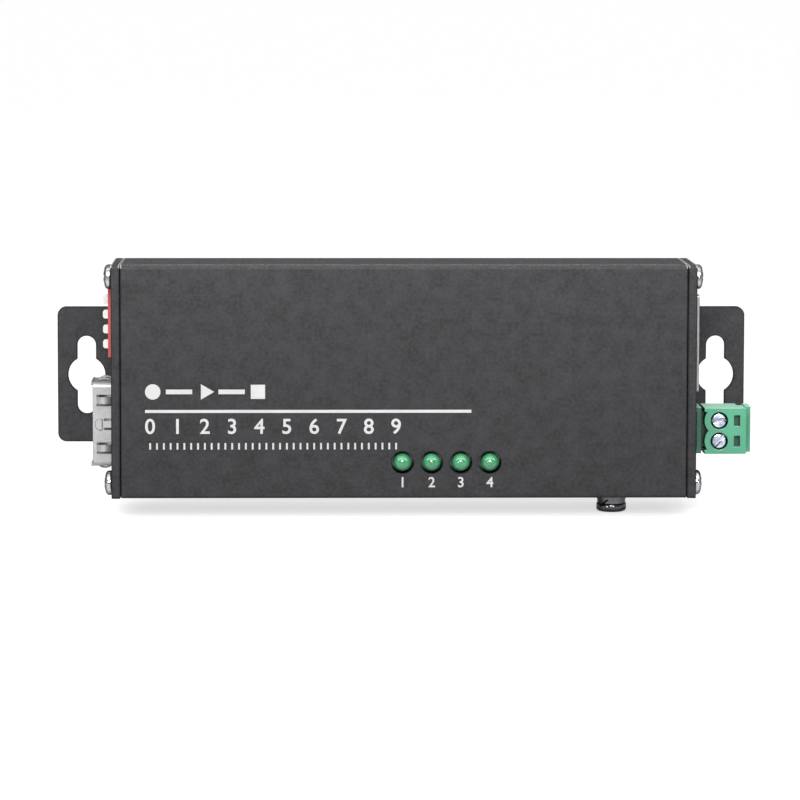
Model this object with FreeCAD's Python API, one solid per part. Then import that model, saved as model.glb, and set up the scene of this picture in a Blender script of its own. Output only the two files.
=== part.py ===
"""Industrial fibre media converter, in millimetres.

Frame: the origin is the centre of the wall plate's back face. +X runs to the copper end of the unit,
+Y points into the wall and +Z is up, so the front with the lamps faces -Y. Depths are counted from
the front face inwards.
"""
import FreeCAD
import Part
import math
import os

V = FreeCAD.Vector
X_AXIS, Y_AXIS, Z_AXIS = V(1, 0, 0), V(0, 1, 0), V(0, 0, 1)

# ---- Driving dimensions ---------------------------------------------------------------------------

# Housing: an extruded cover and shell between two end plates
HOUSING_LENGTH = 95.6
END_PLATE = 1.5
SHELL_WALL = 1.4
COVER_WALL = 1.5
BACK_WALL = 1.5
COVER_FLANGE = 1.3
SEAM_DEPTH = 3.0
SEAM_GAP = 0.1
SEAM_WALL = 0.4
COVER_STEP = 0.1
EDGE_RADIUS = 0.5
SEAM_RADIUS = 0.3
CORNER_RADIUS = 0.5
PLATE_BREAK = 0.15
COVER_END_GAP = 0.12

# Screw channels, end screws and the cover's hook rails
SCREW_INSET = 2.2
LEG_ROOM = 2.7
SCREW_CORE = 1.0
THREAD_GAP = 0.05
CHANNEL_WALL = 0.75
SCREW_LENGTH = 6.0
HEAD_RADIUS = 2.1
HEAD_HEIGHT = 1.4
HEAD_EDGE = 0.5
RECESS_ARM = 1.25
RECESS_WIDTH = 0.6
RECESS_DEPTH = 0.9
SCREW_HOLE_GAP = 0.35
RAIL = 0.6
RAIL_GAP = 0.1
BARB = 0.5
BARB_LENGTH = 1.1
PART_GAP = 0.25

# Circuit board
BOARD = 1.6
BOARD_GAP = 0.2
BOARD_EDGE_GAP = 0.3
BOARD_END_GAP = 0.5
SLOT_LIP = 0.9
SLOT_GRIP = 0.8

# SFP cage and its spring collar
CAGE_WIDTH = 13.8
CAGE_HEIGHT = 9.8
CAGE_LENGTH = 48.7
CAGE_PROUD = 3.35
CAGE_SHEET = 0.3
CAGE_CORNER = 0.6
COLLAR_SHEET = 0.2
COLLAR_GAP = 0.02
COLLAR_CLEAR = 0.03
COLLAR_LENGTH = 5.0
COLLAR_LIP = 0.3
FINGER_WIDTH = 1.2
FINGER_RISE = 0.6
FINGER_SET = 0.7
FINGER_CLEAR = 0.1
FINGER_PITCH = 4.05
SLIT = 0.35
TAB_WIDTH = 1.85
TAB_LENGTH = 1.15
TAB_RISE = 0.3
TAB_SET = 0.45
TAB_ROUND = 0.8
CUTOUT_GAP = 0.25
SOCKET_LENGTH = 9.0
SOCKET_GAP = 0.4
SOCKET_HEIGHT = 5.6
SOCKET_SLOT = 1.3
SOCKET_SLOT_DEPTH = 6.5
SOCKET_CONTACTS = 10
SOCKET_PITCH = 0.8
SOCKET_SLOT_END = 0.6

# DIP switch
DIP_WIDTH = 11.6
DIP_HEIGHT = 6.6
DIP_LENGTH = 9.0
DIP_PROUD = 0.85
DIP_PITCH = 2.54
DIP_WAYS = 4
DIP_FACE = 0.8
SLIDER_WIDTH = 1.45
SLIDER_PROUD = 1.0
SLIDER_TRAVEL = 1.8
SLIDER_GAP = 0.05
SLIDER_BASE = 0.6
SLIDER_SHOULDER = 0.2
SLIDER_ROUND = 0.43
DIP_PIN_IN = 4.3
DIP_PIN_ROWS = 3.6

# RJ45 jack
JACK_WIDTH = 16.3
JACK_HEIGHT = 13.4
JACK_LENGTH = 21.3
JACK_PROUD = 0.55
JACK_GAP = 0.3
JACK_SHEET = 0.25
PORT_WIDTH = 11.9
PORT_HEIGHT = 7.0
PORT_DEPTH = 13.0
PORT_WALL = 2.4
LATCH_WIDTH = 6.2
LATCH_STEP = 1.5
KEY_WIDTH = 3.4
KEY_STEP = 1.0
JACK_CONTACTS = 8
JACK_PITCH = 1.02
CONTACT_WIDTH = 0.4
CONTACT_SHEET = 0.3
CONTACT_BEND = 2.6
CONTACT_TIP = 11.05
CONTACT_DROP = 3.15

# Power terminal: header on the board, plug in the header
POLES = 2
POLE_PITCH = 3.5
HEADER_WIDTH = 7.8
HEADER_HEIGHT = 8.0
HEADER_WALL = 0.8
HEADER_PROUD = 1.5
HEADER_BACK = 1.6
HEADER_GROOVE = 0.4
HEADER_GROOVE_SET = 0.8
PLUG_HEIGHT = 8.6
PLUG_LIFT = 0.4
PLUG_BODY = 7.14
PLUG_NOSE = 7.16
NOSE_ROOM = 1.2
NOSE_RIB = 0.8
PLUG_GAP = 0.1
PLUG_REACH = 0.46
PLUG_SIDE = 0.65
PLUG_FLANGE = 1.0
PLUG_FLANGE_SET = 3.3
PLUG_FLOOR = 0.45
PLUG_EDGE = 0.3
PROBE_SET = 1.1
PROBE_LENGTH = 1.0
PROBE_WIDTH = 1.84
PROBE_DEPTH = 1.2
NOTCH_LENGTH = 1.2
NOTCH_HEIGHT = 3.2
NOTCH_DEPTH = 0.5
WIRE_SCREW_HEAD = 1.38
WIRE_SCREW_HEAD_HEIGHT = 1.45
WIRE_SCREW_SINK = 0.3
WIRE_SCREW_CORE = 0.95
WIRE_SCREW_PITCH = 0.4
WIRE_SCREW_TURNS = 3.75
WIRE_SCREW_SLOT = 0.5
WIRE_SCREW_SLOT_DEPTH = 0.8
WIRE_SCREW_EDGE = 0.12
WIRE_SCREW_ANGLES = (2.0, 47.0)
SCALLOP_WALL = 1.04
SHOULDER = 0.75
CLAMP_WIDTH = 2.7
CLAMP_LENGTH = 2.9
CLAMP_NUT = 1.0
CLAMP_SHEET = 0.3
CLAMP_WINDOW = 2.2
RUN_GAP = 0.1
WIRE_HOLE = 2.4
BUS_BAR = 0.5
BUS_WIDTH = 1.5
PIN = 1.0
PIN_GAP = 0.05
SLEEVE_SHEET = 0.35

# Status lamps
LAMP_COUNT = 4
LAMP_PITCH = 4.92
LAMP_OUT = 3.68
LAMP_UP = 6.15
LAMP_RADIUS = 1.5
LAMP_RIM = 0.35
LAMP_RIM_HEIGHT = 1.0
LAMP_PROUD = 0.9
LAMP_LENGTH = 5.1
LAMP_HOLE_GAP = 0.35
SPACER_WALL = 0.7
LEAD = 0.5
LEAD_PITCH = 1.27

# Wall plate
WALL_PLATE = 1.2
PLATE_HEIGHT = 23.4
EAR_REACH = 10.1
PLATE_DROP = 0.45
EAR_RADIUS = 1.5
KEYHOLE_OUT = 5.1
KEYHOLE_DROP = 0.1
KEYHOLE_RADIUS = 3.2
KEYHOLE_SLOT = 1.6
KEYHOLE_LENGTH = 13.5
PLATE_SCREW_X = 32.0
PLATE_SCREW_Z = 7.0
PLATE_SCREW_CORE = 1.2
PLATE_SCREW_HEAD = 2.3
PLATE_SCREW_LENGTH = 3.6
PLATE_RECESS_DEPTH = 0.85

# Ground screw under the copper end
GROUND_IN = 12.1
GROUND_GAP = 0.2
GROUND_CORE = 1.25
GROUND_HEAD = 2.55
GROUND_HEAD_HEIGHT = 1.55
GROUND_HEAD_EDGE = 0.45
GROUND_RECESS_ARM = 1.6
GROUND_RECESS_WIDTH = 0.75
GROUND_RECESS_DEPTH = 0.87
GROUND_LENGTH = 5.5
FLAT_WASHER = 2.5
FLAT_WASHER_HEIGHT = 0.55
SPRING_WASHER = 2.4
SPRING_WASHER_HEIGHT = 0.75
SPRING_WASHER_SPLIT = 0.4
INSERT_BARREL = 2.1
INSERT_COLLAR = 2.35
INSERT_COLLAR_HEIGHT = 0.55
INSERT_FLANGE = 2.8
INSERT_FLANGE_HEIGHT = 0.9
WASHER_GAP = 0.1

# Parts on the board: length, width and height of each block, and the clear board between two of them
PART_SPACE = 1.25
CHIP = (12.0, 12.0, 1.0)
CHIP_EDGE = 0.3
TRANSFORMER = (9.4, 15.6, 5.8)
TRANSFORMER_EDGE = 0.4
TRANSFORMER_LEGS = 8
TRANSFORMER_PITCH = 1.9
REGULATOR = (4.9, 3.9, 1.6)
REGULATOR_LEGS = 4
REGULATOR_PITCH = 1.27
LEG_REACH = 1.1
LEG_WIDTH = 0.5
LEG_SHEET = 0.3
INDUCTOR = (7.3, 7.3, 4.0)
INDUCTOR_CORNER = 1.6
INDUCTOR_RING = 3.0
INDUCTOR_CORE = 2.2
INDUCTOR_GROOVE = 0.5
CRYSTAL = (5.0, 3.2, 1.2)
CAPACITORS = 2
CAPACITOR_RADIUS = 3.0
CAPACITOR_HEIGHT = 7.7
CAPACITOR_FOOT = 6.3
CAPACITOR_FOOT_HEIGHT = 1.2

# Heights of the stacks at both ends
TERMINAL_LIFT = 1.95
RIGHT_WEB = 3.25
JACK_DROP = 0.2
CAGE_LIFT = 0.3
LEFT_WEB = 4.2
DIP_DROP = 4.4

# ---- Values that follow ---------------------------------------------------------------------------

SCREW_HOLE = SCREW_CORE + THREAD_GAP
CHANNEL = SCREW_HOLE + CHANNEL_WALL
EDGE_KEEP = SCREW_INSET + CHANNEL + RAIL_GAP + RAIL + PART_GAP
RIGHT_STACK = EDGE_KEEP + TERMINAL_LIFT + HEADER_WIDTH + RIGHT_WEB + JACK_WIDTH + JACK_DROP + EDGE_KEEP
LEFT_STACK = EDGE_KEEP + CAGE_LIFT + CAGE_WIDTH + LEFT_WEB + DIP_WIDTH + DIP_DROP
HOUSING_HEIGHT = max(RIGHT_STACK, LEFT_STACK)
TALLEST = max(JACK_HEIGHT, CAGE_HEIGHT, DIP_HEIGHT, HEADER_HEIGHT)
BOARD_DEPTH = COVER_WALL + JACK_GAP + TALLEST
HOUSING_DEPTH = BOARD_DEPTH + BOARD + LEG_ROOM + BACK_WALL
FRONT_CHANNEL_DEPTH = SEAM_DEPTH + SEAM_WALL + CHANNEL

TOP, BOTTOM = HOUSING_HEIGHT / 2, -HOUSING_HEIGHT / 2
FRONT_Y = -(WALL_PLATE + HOUSING_DEPTH)
BOARD_Y = FRONT_Y + BOARD_DEPTH
HALF_LENGTH = HOUSING_LENGTH / 2
END_X = HALF_LENGTH + END_PLATE
CHANNEL_Z = TOP - SCREW_INSET
CHANNEL_Y = FRONT_Y + FRONT_CHANNEL_DEPTH

CAGE_Z = BOTTOM + EDGE_KEEP + CAGE_LIFT + CAGE_WIDTH / 2
DIP_Z = CAGE_Z + CAGE_WIDTH / 2 + LEFT_WEB + DIP_WIDTH / 2
TERMINAL_Z = BOTTOM + EDGE_KEEP + TERMINAL_LIFT + HEADER_WIDTH / 2
JACK_Z = TERMINAL_Z + HEADER_WIDTH / 2 + RIGHT_WEB + JACK_WIDTH / 2

CAGE_X = -(END_X + CAGE_PROUD)
CAGE_TAIL = CAGE_X + CAGE_LENGTH
SOCKET_WIDTH = CAGE_WIDTH - 2 * (CAGE_SHEET + SOCKET_GAP)
CAGE_Y = BOARD_Y - CAGE_HEIGHT
DIP_X = -(END_X + DIP_PROUD)
DIP_Y = BOARD_Y - DIP_HEIGHT
JACK_X = END_X + JACK_PROUD
JACK_Y = BOARD_Y - JACK_HEIGHT
HEADER_X = END_X + HEADER_PROUD
HEADER_Y = BOARD_Y - HEADER_HEIGHT
HEADER_START = HEADER_X + PLUG_REACH - HEADER_PROUD - PLUG_NOSE - HEADER_BACK

PLUG_Y = BOARD_Y - PLUG_LIFT - PLUG_HEIGHT
PLUG_X = HEADER_X + PLUG_REACH
PLUG_END = PLUG_X + PLUG_BODY
WIRE_HEAD_HOLE = WIRE_SCREW_HEAD + RUN_GAP
SCREW_X = PLUG_X + WIRE_HEAD_HOLE + SCALLOP_WALL
SHOULDER_Y = PLUG_Y + WIRE_SCREW_SINK + WIRE_SCREW_HEAD_HEIGHT
CLAMP_TRAVEL = WIRE_SCREW_PITCH * WIRE_SCREW_TURNS
CLAMP_HEIGHT = CLAMP_NUT + CLAMP_WINDOW + CLAMP_SHEET
CLAMP_Y = PLUG_Y + PLUG_HEIGHT - PLUG_FLOOR - RUN_GAP - CLAMP_HEIGHT
BUS_Y = CLAMP_Y + CLAMP_NUT + RUN_GAP
PIN_Y = BUS_Y + BUS_BAR / 2

LAMP_Z = BOTTOM + LAMP_UP
LAMP_XS = [CAGE_TAIL + LAMP_OUT + i * LAMP_PITCH for i in range(LAMP_COUNT)]
LAMP_BASE_Y = FRONT_Y - LAMP_PROUD + LAMP_LENGTH
POLE_ZS = [TERMINAL_Z + (0.5 * (POLES - 1) - i) * POLE_PITCH for i in range(POLES)]
DIP_ZS = [DIP_Z + (0.5 * (DIP_WAYS - 1) - i) * DIP_PITCH for i in range(DIP_WAYS)]
KEYHOLE_X = END_X + KEYHOLE_OUT
KEYHOLE_Z = -PLATE_DROP - KEYHOLE_DROP
GROUND_X = HALF_LENGTH - GROUND_IN
GROUND_Y = CHANNEL_Y + CHANNEL + GROUND_GAP + INSERT_FLANGE

# Places on the board, as middle x and z: the data parts in a row behind the jack, the power parts behind
# the header and above the lamps
TRANSFORMER_REACH = TRANSFORMER[0] / 2 + LEG_REACH
TRANSFORMER_AT = (JACK_X - JACK_LENGTH - PART_SPACE - TRANSFORMER_REACH, JACK_Z)
CHIP_AT = (TRANSFORMER_AT[0] - TRANSFORMER_REACH - PART_SPACE - CHIP[0] / 2, JACK_Z)
ROW_START = CHIP_AT[0] - CHIP[0] / 2 - PART_SPACE
CAPACITOR_XS = [ROW_START - CAPACITOR_FOOT / 2 - i * (CAPACITOR_FOOT + PART_SPACE) for i in range(CAPACITORS)]
CAPACITOR_Z = JACK_Z + (TRANSFORMER[1] - CAPACITOR_FOOT) / 2
CRYSTAL_AT = (ROW_START - CRYSTAL[0] / 2, CAPACITOR_Z - (CAPACITOR_FOOT + CRYSTAL[1]) / 2 - PART_SPACE)
REGULATOR_AT = (HEADER_START - PIN - PART_SPACE - REGULATOR[0] / 2, TERMINAL_Z)
INDUCTOR_AT = (REGULATOR_AT[0] - (REGULATOR[0] + INDUCTOR[0]) / 2 - PART_SPACE,
               LAMP_Z + LAMP_RADIUS + LAMP_RIM + PART_SPACE + INDUCTOR[1] / 2)


# ---- Small tools ----------------------------------------------------------------------------------

def box(x0, x1, y0, y1, z0, z1):
    """A block between two corners."""
    return Part.makeBox(x1 - x0, y1 - y0, z1 - z0, V(x0, y0, z0))


def rod(radius, x, y, z, axis, length):
    """A round bar that starts at a point and runs along an axis."""
    return Part.makeCylinder(radius, length, V(x, y, z), axis)


def cone(radius_0, radius_1, x, y, z, axis, length):
    """A tapered round bar."""
    return Part.makeCone(radius_0, radius_1, length, V(x, y, z), axis)


def prism(points, run):
    """A flat outline of points, swept along a straight run."""
    return Part.Face(Part.makePolygon(points + points[:1])).extrude(run)


def minus(body, tools):
    """A body with all the tools cut from it."""
    return body.cut(Part.makeCompound(tools))


def joined(shapes):
    """Touching shapes made into one solid with no seams on flat faces."""
    return shapes[0].multiFuse(shapes[1:]).removeSplitter()


def rounded(body, radius, axis, keep):
    """Fillets the straight edges that run along an axis and whose middle passes the keep test."""
    chosen = []
    for edge in body.Edges:
        if edge.Curve.TypeId != "Part::GeomLine":
            continue
        along = abs(edge.tangentAt(edge.FirstParameter).dot(axis))
        if along > 0.999 and keep(edge.CenterOfMass):
            chosen.append(edge)
    return body.makeFillet(radius, chosen) if chosen else body


def slot_tool(x, y, z, length, width, depth, turn):
    """A cutter for a straight slot in a face that looks towards -Y, turned about the screw's own axis."""
    tool = box(x - length, x + length, y, y + depth, z - width / 2, z + width / 2)
    return tool.rotate(V(x, y, z), Y_AXIS, -turn)


def cross_recess(x, y, z, inwards, arm, width, depth):
    """A cutter for a cross recess whose open face is at a point and which goes inwards along an axis."""
    bars = [box(-arm, arm, -width / 2, width / 2, 0, depth), box(-width / 2, width / 2, -arm, arm, 0, depth)]
    tool = joined(bars)
    tool.Placement = FreeCAD.Placement(V(x, y, z), FreeCAD.Rotation(Z_AXIS, inwards))
    return tool


def outer_rim(head, face):
    """The round edges of a head that lie in its outer face."""
    return [e for e in head.Edges if e.Curve.TypeId == "Part::GeomCircle" and face(e.CenterOfMass)]


def save(node, shape):
    """Writes one sub-part, after a test that each of its solids is sound."""
    if not shape.isValid() or not shape.Solids:
        raise ValueError(f"{node} is not a valid solid")
    shape.exportStep(f"parts/{node}.step")


# ---- Housing --------------------------------------------------------------------------------------

def channel_points():
    """Middle lines of the two screw channels."""
    return [(CHANNEL_Y, z) for z in (CHANNEL_Z, -CHANNEL_Z)]


def rear_shell():
    """Extruded U: back, two sides, two screw channels and the board's slots."""
    seam = FRONT_Y + SEAM_DEPTH
    back = FRONT_Y + HOUSING_DEPTH
    shell = box(-HALF_LENGTH, HALF_LENGTH, seam, back, BOTTOM, TOP)
    shell = rounded(shell, EDGE_RADIUS, X_AXIS, lambda p: p.y > back - EDGE_RADIUS)
    shell = rounded(shell, SEAM_RADIUS, X_AXIS, lambda p: p.y < seam + SEAM_RADIUS)
    hollow = box(-HALF_LENGTH, HALF_LENGTH, seam, back - BACK_WALL, BOTTOM + SHELL_WALL, TOP - SHELL_WALL)
    shell = shell.cut(hollow)

    ribs = []
    for y, z in channel_points():
        ribs.append(rod(CHANNEL, -HALF_LENGTH, y, z, X_AXIS, HOUSING_LENGTH))
    lip_back = BOARD_Y - PART_GAP / 2
    lip_reach = SHELL_WALL + BOARD_EDGE_GAP + SLOT_GRIP
    for z0, z1 in ((TOP - lip_reach, TOP - SHELL_WALL / 2), (BOTTOM + SHELL_WALL / 2, BOTTOM + lip_reach)):
        ribs.append(box(-HALF_LENGTH, HALF_LENGTH, lip_back - SLOT_LIP, lip_back, z0, z1))
    shell = joined([shell] + ribs)

    holes = [rod(SCREW_HOLE, -HALF_LENGTH, y, z, X_AXIS, HOUSING_LENGTH) for y, z in channel_points()]
    holes.append(rod(INSERT_BARREL, GROUND_X, GROUND_Y, BOTTOM, Z_AXIS, SHELL_WALL))
    for x, z in plate_screw_points():
        holes.append(rod(PLATE_SCREW_CORE + THREAD_GAP, x, back - BACK_WALL, z, Y_AXIS, BACK_WALL))
    return minus(shell, holes)


def front_cover():
    """Extruded shallow lid whose two rails hook behind the front screw channels."""
    half = TOP - COVER_STEP
    end = HALF_LENGTH - COVER_END_GAP
    rim = FRONT_Y + SEAM_DEPTH - SEAM_GAP
    cover = box(-end, end, FRONT_Y, rim, -half, half)
    cover = rounded(cover, EDGE_RADIUS, X_AXIS, lambda p: p.y < FRONT_Y + EDGE_RADIUS)
    inside = half - COVER_FLANGE
    cover = cover.cut(box(-end, end, FRONT_Y + COVER_WALL, rim, -inside, inside))

    rail_out = CHANNEL_Z - CHANNEL - RAIL_GAP
    barb_start = CHANNEL_Y + math.sqrt(CHANNEL ** 2 - (CHANNEL - BARB) ** 2) + RAIL_GAP
    barb_end = barb_start + BARB_LENGTH
    rails = []
    for side in (1, -1):
        outline = [
            (FRONT_Y + COVER_WALL / 2, rail_out - RAIL), (barb_end, rail_out - RAIL), (barb_end, rail_out),
            (barb_start + BARB_LENGTH / 2, rail_out + BARB), (barb_start, rail_out + BARB),
            (barb_start, rail_out), (FRONT_Y + COVER_WALL / 2, rail_out),
        ]
        rails.append(prism([V(-end, y, side * z) for y, z in outline], V(2 * end, 0, 0)))
    cover = joined([cover] + rails)

    room = LAMP_RADIUS + LAMP_RIM + PART_GAP
    low = -rail_out - BARB
    cuts = [box(LAMP_XS[0] - room, LAMP_XS[-1] + room, FRONT_Y + COVER_WALL, barb_end, low, LAMP_Z)]
    for x in LAMP_XS:
        cuts.append(rod(LAMP_RADIUS + LAMP_HOLE_GAP, x, FRONT_Y, LAMP_Z, Y_AXIS, COVER_WALL))
    return minus(cover, cuts)


def end_plate(x0, cutouts):
    """Flat end plate, its inner edges broken, with two screw holes and the connectors' cut-outs."""
    plate = box(x0, x0 + END_PLATE, FRONT_Y, FRONT_Y + HOUSING_DEPTH, BOTTOM, TOP)
    plate = rounded(plate, CORNER_RADIUS, X_AXIS, lambda p: True)
    inner = math.copysign(HALF_LENGTH, x0)
    rim = [e for e in plate.Edges if all(abs(v.X - inner) < PLATE_BREAK for v in e.Vertexes)]
    plate = plate.makeChamfer(PLATE_BREAK, rim)
    holes = [rod(SCREW_CORE + SCREW_HOLE_GAP, x0, y, z, X_AXIS, END_PLATE) for y, z in channel_points()]
    for y0, y1, middle, width, gap in cutouts:
        half = width / 2 + gap
        cut = box(x0, x0 + END_PLATE, y0 - gap, y1 + gap, middle - half, middle + half)
        holes.append(rounded(cut, gap, X_AXIS, lambda p: True))
    return minus(plate, holes)


def left_end_plate():
    """Plate with cut-outs for the switch and for the cage in its collar."""
    cage = (CAGE_Y, BOARD_Y, CAGE_Z, CAGE_WIDTH, COLLAR_GAP + COLLAR_SHEET + COLLAR_CLEAR)
    return end_plate(-END_X, [cage, (DIP_Y, BOARD_Y, DIP_Z, DIP_WIDTH, CUTOUT_GAP)])


def right_end_plate():
    """Plate with the jack's and the terminal's cut-outs."""
    jack = (JACK_Y, BOARD_Y, JACK_Z, JACK_WIDTH, CUTOUT_GAP)
    return end_plate(HALF_LENGTH, [jack, (HEADER_Y, BOARD_Y, TERMINAL_Z, HEADER_WIDTH, CUTOUT_GAP)])


def end_screws(side):
    """Two cross-recessed pan-head screws, heads outwards."""
    screws = []
    seat = side * END_X
    out = V(side, 0, 0)
    for y, z in channel_points():
        head = rod(HEAD_RADIUS, seat, y, z, out, HEAD_HEIGHT)
        head = head.makeChamfer(HEAD_EDGE, outer_rim(head, lambda p: abs(p.x) > END_X))
        shank = rod(SCREW_CORE, seat, y, z, -out, SCREW_LENGTH)
        recess = cross_recess(seat + side * HEAD_HEIGHT, y, z, -out, RECESS_ARM, RECESS_WIDTH, RECESS_DEPTH)
        screws.append(joined([head, shank]).cut(recess))
    return Part.makeCompound(screws)


# ---- Wall plate and ground screw ------------------------------------------------------------------

def plate_screw_points():
    """Places of the four screws that hold the wall plate."""
    places = [(x, z) for x in (-PLATE_SCREW_X, PLATE_SCREW_X) for z in (-PLATE_SCREW_Z, PLATE_SCREW_Z)]
    return [(x, z - PLATE_DROP) for x, z in places]


def wall_plate():
    """Flat plate behind the shell with a double-ended keyhole in each ear."""
    half = END_X + EAR_REACH
    low, high = -PLATE_DROP - PLATE_HEIGHT / 2, -PLATE_DROP + PLATE_HEIGHT / 2
    plate = box(-half, half, -WALL_PLATE, 0, low, high)
    plate = rounded(plate, EAR_RADIUS, Y_AXIS, lambda p: True)
    cuts = []
    for x in (-KEYHOLE_X, KEYHOLE_X):
        arm = KEYHOLE_LENGTH / 2 - KEYHOLE_SLOT
        hole = [rod(KEYHOLE_RADIUS, x, -WALL_PLATE, KEYHOLE_Z, Y_AXIS, WALL_PLATE)]
        ends = (KEYHOLE_Z - arm, KEYHOLE_Z + arm)
        hole.append(box(x - KEYHOLE_SLOT, x + KEYHOLE_SLOT, -WALL_PLATE, 0, *ends))
        for z in ends:
            hole.append(rod(KEYHOLE_SLOT, x, -WALL_PLATE, z, Y_AXIS, WALL_PLATE))
        cuts.append(joined(hole))
    wide, narrow = PLATE_SCREW_HEAD + THREAD_GAP, PLATE_SCREW_CORE + THREAD_GAP
    for x, z in plate_screw_points():
        cuts.append(cone(narrow, wide, x, -WALL_PLATE, z, Y_AXIS, WALL_PLATE))
    return minus(plate, cuts)


def wall_plate_screws():
    """Four countersunk screws through the wall plate into the shell's back."""
    screws = []
    for x, z in plate_screw_points():
        head = cone(PLATE_SCREW_CORE, PLATE_SCREW_HEAD, x, -WALL_PLATE, z, Y_AXIS, WALL_PLATE)
        shank = rod(PLATE_SCREW_CORE, x, -PLATE_SCREW_LENGTH, z, Y_AXIS, PLATE_SCREW_LENGTH - WALL_PLATE)
        recess = cross_recess(x, 0, z, -Y_AXIS, RECESS_ARM, RECESS_WIDTH, PLATE_RECESS_DEPTH)
        screws.append(joined([head, shank]).cut(recess))
    return Part.makeCompound(screws)


def ground_insert():
    """Rivet nut in the shell's wall: a thin collar outside, a barrel and a swaged flange inside."""
    low = BOTTOM - INSERT_COLLAR_HEIGHT
    high = BOTTOM + SHELL_WALL + INSERT_FLANGE_HEIGHT
    collar = rod(INSERT_COLLAR, GROUND_X, GROUND_Y, low, Z_AXIS, INSERT_COLLAR_HEIGHT)
    barrel = rod(INSERT_BARREL, GROUND_X, GROUND_Y, BOTTOM, Z_AXIS, SHELL_WALL)
    flange = rod(INSERT_FLANGE, GROUND_X, GROUND_Y, BOTTOM + SHELL_WALL, Z_AXIS, INSERT_FLANGE_HEIGHT)
    bore = rod(GROUND_CORE + THREAD_GAP, GROUND_X, GROUND_Y, low, Z_AXIS, high - low)
    return joined([collar, barrel, flange]).cut(bore)


def washer(radius, low, height):
    """A ring round the ground screw."""
    ring = rod(radius, GROUND_X, GROUND_Y, low, Z_AXIS, height)
    return ring.cut(rod(GROUND_CORE + WASHER_GAP, GROUND_X, GROUND_Y, low, Z_AXIS, height))


def ground_parts():
    """The screw, its split spring washer and its flat washer, under the insert's collar."""
    flat_low = BOTTOM - INSERT_COLLAR_HEIGHT - FLAT_WASHER_HEIGHT
    spring_low = flat_low - SPRING_WASHER_HEIGHT
    flat = washer(FLAT_WASHER, flat_low, FLAT_WASHER_HEIGHT)

    spring = washer(SPRING_WASHER, spring_low, SPRING_WASHER_HEIGHT)
    lean = SPRING_WASHER_HEIGHT
    x = GROUND_X - SPRING_WASHER * math.sqrt(0.5)
    outline = [(x, spring_low), (x + SPRING_WASHER_SPLIT, spring_low)]
    outline += [(x + SPRING_WASHER_SPLIT + lean, spring_low + lean), (x + lean, spring_low + lean)]
    split = prism([V(px, GROUND_Y - SPRING_WASHER, pz) for px, pz in outline], V(0, SPRING_WASHER, 0))
    spring = spring.cut(split)

    head_low = spring_low - GROUND_HEAD_HEIGHT
    head = rod(GROUND_HEAD, GROUND_X, GROUND_Y, head_low, Z_AXIS, GROUND_HEAD_HEIGHT)
    rim = outer_rim(head, lambda p: p.z < spring_low - GROUND_HEAD_HEIGHT / 2)
    head = head.makeChamfer(GROUND_HEAD_EDGE, rim)
    screw = joined([head, rod(GROUND_CORE, GROUND_X, GROUND_Y, spring_low, Z_AXIS, GROUND_LENGTH)])
    recess = cross_recess(GROUND_X, GROUND_Y, head_low, Z_AXIS, GROUND_RECESS_ARM, GROUND_RECESS_WIDTH,
                          GROUND_RECESS_DEPTH)
    return screw.cut(recess), spring, flat


# ---- SFP cage -------------------------------------------------------------------------------------

def sleeve(x0, x1, grow, sheet):
    """A rectangular tube of folded sheet round the cage's outer form, grown outwards by a margin."""
    y0, y1 = CAGE_Y - grow, BOARD_Y + grow
    z0, z1 = CAGE_Z - CAGE_WIDTH / 2 - grow, CAGE_Z + CAGE_WIDTH / 2 + grow
    outer = rounded(box(x0, x1, y0, y1, z0, z1), CAGE_CORNER + grow, X_AXIS, lambda p: True)
    inner = box(x0, x1, y0 + sheet, y1 - sheet, z0 + sheet, z1 - sheet)
    inner = rounded(inner, CAGE_CORNER + grow - sheet, X_AXIS, lambda p: True)
    return outer.cut(inner)


def finger_places():
    """Each spring finger: the side it is on, its middle across that side and where it starts."""
    first = CAGE_X + FINGER_SET
    behind_tab = CAGE_X + TAB_SET + TAB_LENGTH + SLIT
    places = []
    for step in (-1, 0, 1):
        middle = CAGE_Z + step * FINGER_PITCH
        places.append(("front", middle, behind_tab if step == 0 else first))
        places.append(("back", middle, first))
    for step in (-0.5, 0.5):
        for side in ("top", "bottom"):
            places.append((side, CAGE_Y + CAGE_HEIGHT / 2 + step * FINGER_PITCH, first))
    return places


def across(side, x0, x1, middle, width, low, high):
    """A block on one side of the collar: along X, across that side, and from low to high outwards."""
    a, b = middle - width / 2, middle + width / 2
    if side == "front":
        return box(x0, x1, CAGE_Y - high, CAGE_Y - low, a, b)
    if side == "back":
        return box(x0, x1, BOARD_Y + low, BOARD_Y + high, a, b)
    if side == "top":
        face = CAGE_Z + CAGE_WIDTH / 2
        return box(x0, x1, a, b, face + low, face + high)
    face = CAGE_Z - CAGE_WIDTH / 2
    return box(x0, x1, a, b, face - high, face - low)


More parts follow.
